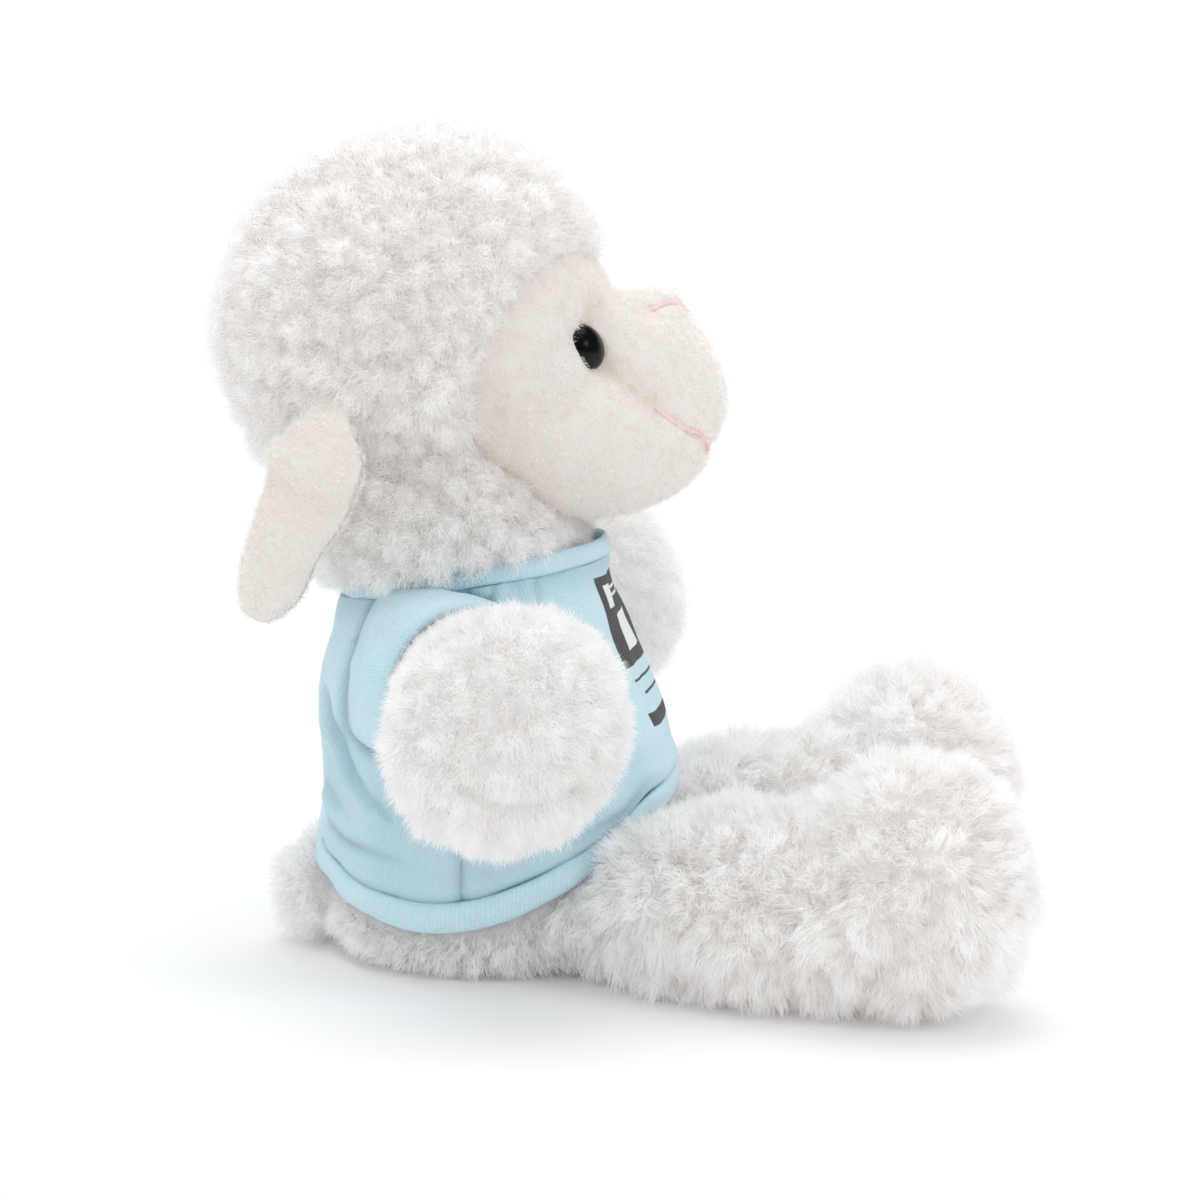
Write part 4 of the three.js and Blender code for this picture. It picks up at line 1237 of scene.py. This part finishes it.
def makeLeg(side):
    name, splay = f"leg_{sideName[side]}", side * legs["splay"][sideName[side]]
    depth = legs["pileDepth"] + stuffing["slack"]
    hip = legs["hip"] * (side, 1, 1)
    heel = np.array((0, -legs["reach"], legs["rows"][-3][0] - legs["flat"] - legs["hip"][2]))
    length = np.linalg.norm(heel)
    rows = roundedStart(legs["hipRadius"] - depth, -88, 6)
    rows += [(radius - depth, share * length) for radius, share in legs["rows"]]
    points, faces = latheAlong(rows, 40, np.zeros(3), heel)
    ways, ballFaces = ballPoints(5)
    c, s = math.cos(math.radians(legs["footTilt"])), math.sin(math.radians(legs["footTilt"]))
    foot = ways * (legs["footRadii"] - depth) @ np.array(((1, 0, 0), (0, c, s), (0, -s, c)))
    foot += (0, -legs["reach"], legs["footRadii"][2] - legs["flat"] - legs["hip"][2])
    faces = faces + [tuple(i + len(points) for i in face) for face in ballFaces]
    points = turnZ(np.concatenate([points, foot]), splay) + hip
    piece = refined(meshObject(name + "_form", points, faces), "leg", 3.0, 8, 0)
    piece = refined(stuffed(piece, "leg", 4.5), name + "_form", 2.4, 6)
    points = pointsOf(piece)
    points[:, 2] = np.maximum(points[:, 2], 2.5)
    points += softNoise(points, 20, 8 + side)[:, None] * normalsOf(piece) * 0.7
    setPoints(piece, points)
    # bare where the leg is inside the torso or under the shirt
    clear = np.maximum(offTorso(points), hemHeight(points[:, 1]) - points[:, 2])
    pile = smoothStep(-3, 6, clear) * (0.85 + 0.2 * smoothStep(40, 8, points[:, 2]))
    forward = turnZ([(0, -1, 0)], splay)[0]
    lay = forward * 0.18 + np.outer(smoothStep(45, 10, points[:, 2]), (0, 0, -0.5)) + (0, 0, -0.12)
    puffed(piece, legs["puffs"], pile * smoothStep(2, 7, points[:, 2]), 151 + side, lay)
    setAttribute(piece, "pile", pile)
    growPile(piece, f"{name}_wool", legs["pile"], 51 + side, name, (f"{name}_skin", f"{name}_stuffing"))


for side in (right, left):
    makeLeg(side)
print("stage: legs ready")

# tail

tail = {
    "middle": np.array((0, 41.5, 14.5)), "radii": np.array((13.5, 12.5, 14)), "pileDepth": 3.6,
    "pile": {"tufts": "shaggy", "density": 0.40, "height": 0.8, "ruffle": 0.5, "ruffleSize": 7},
    "puffs": {"size": 6, "height": 2.0, "stretch": 1.2, "gather": 1.5}, "lay": (0, 0.15, -0.3),
}


def makeTail():
    ways, faces = ballPoints(5)
    points = tail["middle"] + ways * (tail["radii"] - tail["pileDepth"])
    piece = meshObject("tail_form", points, faces)
    pile = smoothStep(-1, 5, offTorso(points))
    puffed(piece, tail["puffs"], pile, 161, tail["lay"])
    setAttribute(piece, "pile", pile)
    growPile(piece, "tail_wool", tail["pile"], 61, "tail", ("tail_skin", "tail_stuffing"))


makeTail()
print("stage: tail ready")

# shirt

shirt = {
    "inside": 0.5, "thickness": 1.3, "hem": 7.5, "neckband": 5, "seamY": -2, "heart": (0, 0, 55),
    "columns": 150, "rows": 96, "grooveWidth": 1.2,
    "sleeveDepth": 18, "armholeWidth": 23.5, "armholeHeight": 21, "armholeDrop": 2.5, "cuffRadius": 19.5,
    "cuffShift": {"right": -1.2, "left": 0.8}, "cuffAt": -0.06, "seamGrow": 0.7, "armReach": (38, 54),
    "unrollRadius": 38, "foldSteps": 40, "sleeveRows": 40, "bandColumns": 260, "bandUv": (0.26, 0.018),
    # how far down the sleeve, and the share of the armhole's size there
    "flare": [(0, 0), (0.26, 0.32), (0.6, 0.72), (1, 1), (1.6, 1.04)],
    # flat sizes of the cut pieces in metres
    "flat": {"front": (0.150, 0.088), "back": (0.150, 0.088), "sleeve": (0.135, 0.020),
             "hem": (0.27, 0.0125), "neckband": (0.2, 0.0105)},
}
clothMiddle = shirt["inside"] + shirt["thickness"] / 2


def cornersOf(piece):
    corners = np.zeros(len(piece.data.loops), np.int32)
    piece.data.loops.foreach_get("vertex_index", corners)
    return corners


def setUv(piece, flat):
    piece.data.uv_layers.new(name="cut").data.foreach_set("uv", flat.ravel())


def gridUv(piece, grid):
    # the cloth's own flat measures, in metres, as its UV map
    acrossSteps = np.linalg.norm(np.diff(grid, axis=1), axis=2)
    alongSteps = np.linalg.norm(np.diff(grid, axis=0), axis=2)
    u = np.concatenate([np.zeros((grid.shape[0], 1)), np.cumsum(acrossSteps, 1)], 1)
    v = np.concatenate([np.zeros((1, grid.shape[1])), np.cumsum(alongSteps, 0)], 0)
    u -= u.mean(1, keepdims=True)
    setUv(piece, (np.stack([u, v], -1).reshape(-1, 2) * mm)[cornersOf(piece)])


def ringUv(piece, rows, columns, size):
    # the same for a ring of cloth, going on past its end where the ring closes
    corners = cornersOf(piece)
    flat = np.stack([corners % columns / columns, corners // columns / rows], -1).reshape(-1, 4, 2)
    flat[(np.ptp(flat, axis=1, keepdims=True) > 0.5) & (flat < 0.4)] += 1
    setUv(piece, flat * size)


def thickened(piece, name, heart):
    if ((pointsOf(piece) - heart) * normalsOf(piece)).sum() < 0:
        piece.data.flip_normals()
    modify(piece, "SOLIDIFY", thickness=shirt["thickness"] * mm, offset=0)
    return settle(piece, name)


def clothPiece(piece, body, node):
    if body:
        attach(piece, body)
    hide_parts(node)


def heightsOn(line, heights, anglesAt, grow, rounds):
    # the heights at which points on the torso meet a line that is drawn on it
    for _ in range(rounds):
        heights = 0.5 * heights + 0.5 * line(torsoPoints(anglesAt(heights), heights, grow)[..., 1])
    return heights


def aboveHem(y, height):
    return hemHeight(y) + height


def onNeck(y, height):
    slope = math.tan(math.radians(neck["tilt"]))
    return neck["seat"][2] + height / neckAxis[2] - (y - neck["seat"][1]) * slope


def sleeveFrame(side):
    way = armWay(side, -2)
    return arms["shoulder"] * (side, 1, 1), *frameAlong(way), way


sleeveAngles = np.linspace(0, 2 * np.pi, 120, endpoint=False)


def sleeveFunnel(side, deep, bulge=0.0):
    base, across, upright, way = sleeveFrame(side)
    deeps, shares = throughPoints(shirt["flare"])
    share = np.interp(deep, deeps, shares[0])
    wide, tall = (shirt["cuffRadius"] + (shirt[size] - shirt["cuffRadius"]) * share - shirt["thickness"] / 2 + bulge
                  for size in ("armholeWidth", "armholeHeight"))
    a, b = wide * np.cos(sleeveAngles), tall * np.sin(sleeveAngles) - shirt["armholeDrop"] * share
    return base + a[..., None] * across + b[..., None] * upright - (shirt["sleeveDepth"] * deep)[..., None] * way


def ontoShirt(points, grow):
    # moves points level in or out until they lie on the shirt
    _, front, back = torsoAt(points[..., 2])
    level = points[..., :2] - np.stack([0 * front, (front + back) / 2], -1)
    reach = np.linalg.norm(level, axis=-1)
    level *= ((reach - offTorso(points) + grow) / reach - 1)[..., None]
    return np.concatenate([points[..., :2] + level, points[..., 2:]], -1)


def armholeRing(side):
    # the funnel's lines end where they meet the shirt, and behind the shoulder, where they pass it by,
    # they bend to the nearest point of it
    lines = sleeveFunnel(side, np.linspace(0, 1.7, 140)[:, None] + 0 * sleeveAngles)
    off = offTorso(lines) - clothMiddle - shirt["seamGrow"]
    end = np.where((off < 0).any(0), (off < 0).argmax(0), off.argmin(0))
    ring = lines[end, range(len(sleeveAngles))]
    for _ in range(12):
        ring = (np.roll(ring, 1, 0) + 2 * ring + np.roll(ring, -1, 0)) / 4
    return ontoShirt(ring, clothMiddle + shirt["seamGrow"])


def unrolled(points, side):
    # length around the torso from its side, and height
    turn = np.arctan2(points[:, 1], side * points[:, 0])
    return np.stack([turn * shirt["unrollRadius"], points[:, 2]], -1)


armholes = {side: armholeRing(side) for side in (right, left)}


def armholeShare(points, side):
    # below 1 inside the armhole, measured as a share of its size
    ring = unrolled(armholes[side], side)
    middle = ring.mean(0)
    ring, spots = ring - middle, unrolled(points, side) - middle
    reach = np.interp(np.arctan2(spots[:, 1], spots[:, 0]), np.arctan2(ring[:, 1], ring[:, 0]),
                      np.hypot(*ring.T), period=2 * np.pi)
    return np.hypot(*spots.T) / reach


folds = [
    # where they run on each side of the shirt (y, z), how deep and how wide
    (((37, 82), (36, 72), (32, 62), (25, 50), (19, 44)), 2.2, 2.4),
    (((-17.5, 97), (-19, 88), (-17, 82)), 1.7, 1.9), (((-8, 96), (-6.5, 90)), -1.1, 1.5),
    (((4, 94.5), (5.5, 88), (9, 83)), 1.2, 1.7), (((14, 92.5), (18, 87), (25, 83)), -1.4, 1.8),
    (((-44, 47), (-38, 42), (-28, 37)), 1.1, 2.4), (((40, 42), (28, 34), (14, 31)), -1.0, 2.4),
    (((46, 60), (41, 50), (30, 42)), 1.0, 2.6),
]


def wrinkles(points):
    lift = 0.55 * softNoise(points, 30, 71) + 0.22 * softNoise(points, 13, 72)
    beside = smoothStep(14, 24, np.abs(points[:, 0]))
    shade = np.zeros(len(points))
    for line, deep, wide in folds:
        # one side of a fold stands up and falls steeply into its crease, and the sign of deep says which
        line = np.array(line, float)
        steps = np.linspace(0, len(line) - 1, shirt["foldSteps"])
        run = np.column_stack([np.interp(steps, range(len(line)), line[:, i]) for i in (0, 1)])
        offsets = points[:, None, 1:] - run[None]
        nearest = (offsets**2).sum(2).argmin(1)
        offset, way = offsets[np.arange(len(points)), nearest], np.gradient(run, axis=0)[nearest]
        apart = np.linalg.norm(offset, axis=1) * np.sign(way[:, 0] * offset[:, 1] - way[:, 1] * offset[:, 0])
        apart *= np.sign(deep)
        ends = 0.35 + 0.65 * np.sin(np.pi * np.clip(nearest / (shirt["foldSteps"] - 1), 0.12, 0.88))
        lift += beside * ends * abs(deep) * (bell(apart - 1.1 * wide, wide) - 0.8 * bell(apart, 0.5 * wide))
        shade += 0.5 * beside * ends * bell(apart, 0.7 * wide)
    shade += 0.2 * beside * smoothStep(66, 44, points[:, 2])
    for side in (right, left):
        share = armholeShare(points, side)
        lift += 0.5 * bell(share - 1.22, 0.1) - 0.9 * bell(share - 1.07, 0.05)
        shade += 0.75 * bell(share - 1.05, 0.07)
    return lift, shade


def makePanel(part, material):
    name = f"shirt_{part}"
    u = np.linspace(0, 1, shirt["columns"])[None]
    v = np.linspace(0, 1, shirt["rows"])[:, None]

    def angleAt(height):
        _, low, high = torsoAt(height)
        seam = (shirt["seamY"] - (low + high) / 2) / ((high - low) / 2)
        turn = np.arcsin(np.sign(seam) * np.abs(seam) ** (torso["squareness"] / 2))
        start, end = (np.pi - turn, 2 * np.pi + turn) if part == "front" else (turn, np.pi - turn)
        return start + (end - start) * u

    def edge(line, height, start):
        return heightsOn(lambda y: line(y, height), np.full_like(u, start), angleAt, clothMiddle, 14)

    bottom, top = edge(aboveHem, shirt["hem"] + 0.1, 30.0), edge(onNeck, -shirt["neckband"] - 0.05, 95.0)
    heights = bottom + (top - bottom) * v
    plain = torsoPoints(angleAt(heights), heights, clothMiddle)
    lift, shade = (values.reshape(heights.shape) for values in wrinkles(plain.reshape(-1, 3)))
    length = np.linalg.norm(np.diff(plain, axis=1), axis=2).sum(1).max()
    toSeam, toHem, toNeck = np.minimum(u, 1 - u) * length, heights - bottom, top - heights
    # sewn in along its edges
    grow = clothMiddle + 0.25 + np.maximum(lift, -0.85) - 0.75 * bell(toSeam, shirt["grooveWidth"])
    grow = grow + 0.9 * smoothStep(9, 3, toHem) - 1.5 * bell(toHem, 1.3) - 0.2 * bell(toNeck, 1.5)
    shade = shade + 0.45 * bell(toSeam, 1.4) + 0.5 * bell(toHem, 1.6) + 0.4 * smoothStep(9, 0, toNeck)
    grid = torsoPoints(angleAt(heights), heights, grow)
    points, faces = grid.reshape(-1, 3), gridFaces(*heights.shape)
    middles = points[np.array(faces)].mean(1)
    inArmhole = np.min([armholeShare(middles, side) for side in (right, left)], axis=0) < 0.9
    piece = meshObject(name + "_flat", points, [face for face, gone in zip(faces, inArmhole) if not gone], material)
    gridUv(piece, grid)
    setAttribute(piece, "shade", np.clip(shade.ravel(), 0, 1))
    cut = bmesh.new()
    cut.from_mesh(piece.data)
    bmesh.ops.delete(cut, geom=[v for v in cut.verts if not v.link_faces], context="VERTS")
    cut.to_mesh(piece.data)
    cut.free()
    clothPiece(thickened(piece, name + "_jersey", shirt["heart"]), "torso", name)


def makeSleeve(side):
    base, _, upright, way = sleeveFrame(side)
    columns, rows = len(sleeveAngles), shirt["sleeveRows"]
    ring = armholes[side]
    end = (base - ring) @ way / shirt["sleeveDepth"]
    # from the armhole to the cuff
    v = np.linspace(0, 1, rows)[:, None]
    deep = end * (1 - v) + shirt["cuffAt"] * v
    bulge = 1.5 * np.sin(np.pi * v) ** 0.8 * (0.6 + 0.4 * np.sin(sleeveAngles))
    bend = (ring - sleeveFunnel(side, end)) * ((1 - v) ** 1.5)[..., None]
    bend = bend + upright * (shirt["cuffShift"][sideName[side]] * v**2)[..., None]
    ripple = softNoise((sleeveFunnel(side, deep, bulge) + bend).reshape(-1, 3), 12, 81 + side).reshape(deep.shape)
    grid = sleeveFunnel(side, deep, bulge + 0.35 * ripple * np.sin(np.pi * v)) + bend
    name = f"shirt_sleeve_{sideName[side]}"
    piece = meshObject(name + "_flat", grid.reshape(-1, 3), gridFaces(rows, columns, closedAcross=True), jersey)
    ringUv(piece, rows, columns, shirt["flat"]["sleeve"])
    under = 1 - 0.6 * np.clip(np.sin(sleeveAngles), 0, 1)
    setAttribute(piece, "shade", (0.7 * bell(v, 0.13) * under + 0.25 * smoothStep(0.12, 0, 1 - v)).ravel())
    facingOut(piece)
    sleeve = thickened(piece, name + "_jersey", base)
    # reaches along the arm where the seam would stay on the shirt and the cuff would go with the arm, most of all at
    # its outer side; they are not used, and the sleeve rides on no body
    start, end = (base * (0, 1, 1) + (side * reach, 0, 0) for reach in shirt["armReach"])
    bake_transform(sleeve)
    clothPiece(sleeve, None, name)


bands = {
    # heights on the band's line and distances off the torso, then the line and a height to start from
    "hem": ([(7.6, 0.9), (7.5, 1.7), (6.7, 2.5), (5.2, 2.95), (3.5, 3.05), (1.8, 2.95), (0.7, 2.6), (0.0, 2.0),
             (-0.2, 1.4), (0.1, 0.8), (0.9, 0.55), (3.0, 0.5), (5.2, 0.5), (7.0, 0.5)], aboveHem, 40.0),
    "neckband": ([(-0.3, 0.9), (-0.1, 1.6), (-0.5, 2.2), (-1.6, 2.5), (-2.8, 2.5), (-4.0, 2.35), (-4.8, 2.0),
                  (-5.0, 1.4), (-4.8, 0.7), (-3.8, 0.5), (-2.2, 0.5), (-0.9, 0.55)], onNeck, 96.0),
}


def makeBand(part):
    # a closed ring of turned cloth
    profile, line, start = bands[part]
    columns = shirt["bandColumns"]
    angles = np.linspace(0, 2 * np.pi, columns, endpoint=False)
    rings = []
    for height, grow in profile:
        heights = heightsOn(lambda y: line(y, height), np.full(columns, start), lambda _: angles, grow, 16)
        ripple = 0.25 * softNoise(torsoPoints(angles, heights, 0), 16, 91) if grow > 1 else 0
        rings.append(torsoPoints(angles, heights, grow + ripple))
    faces = gridFaces(len(profile), columns, closedAcross=True, closedAlong=True)
    piece = meshObject(f"shirt_{part}_jersey", np.array(rings).reshape(-1, 3), faces, jersey)
    ringUv(piece, len(profile), columns, shirt["bandUv"])
    facingOut(piece)
    clothPiece(piece, "torso", f"shirt_{part}")


makePanel("front", printedJersey)
makePanel("back", jersey)
for side in (right, left):
    makeSleeve(side)
for part in bands:
    makeBand(part)
print("stage: shirt ready")

# the end

for collection in tufts.values():
    for tuft in list(collection.objects):
        discard(tuft)
    bpy.data.collections.remove(collection)
triangles = sum(len(polygon.vertices) - 2 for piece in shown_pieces() if piece.type == "MESH"
                for polygon in piece.data.polygons)
print(f"stage: {triangles} triangles in all")
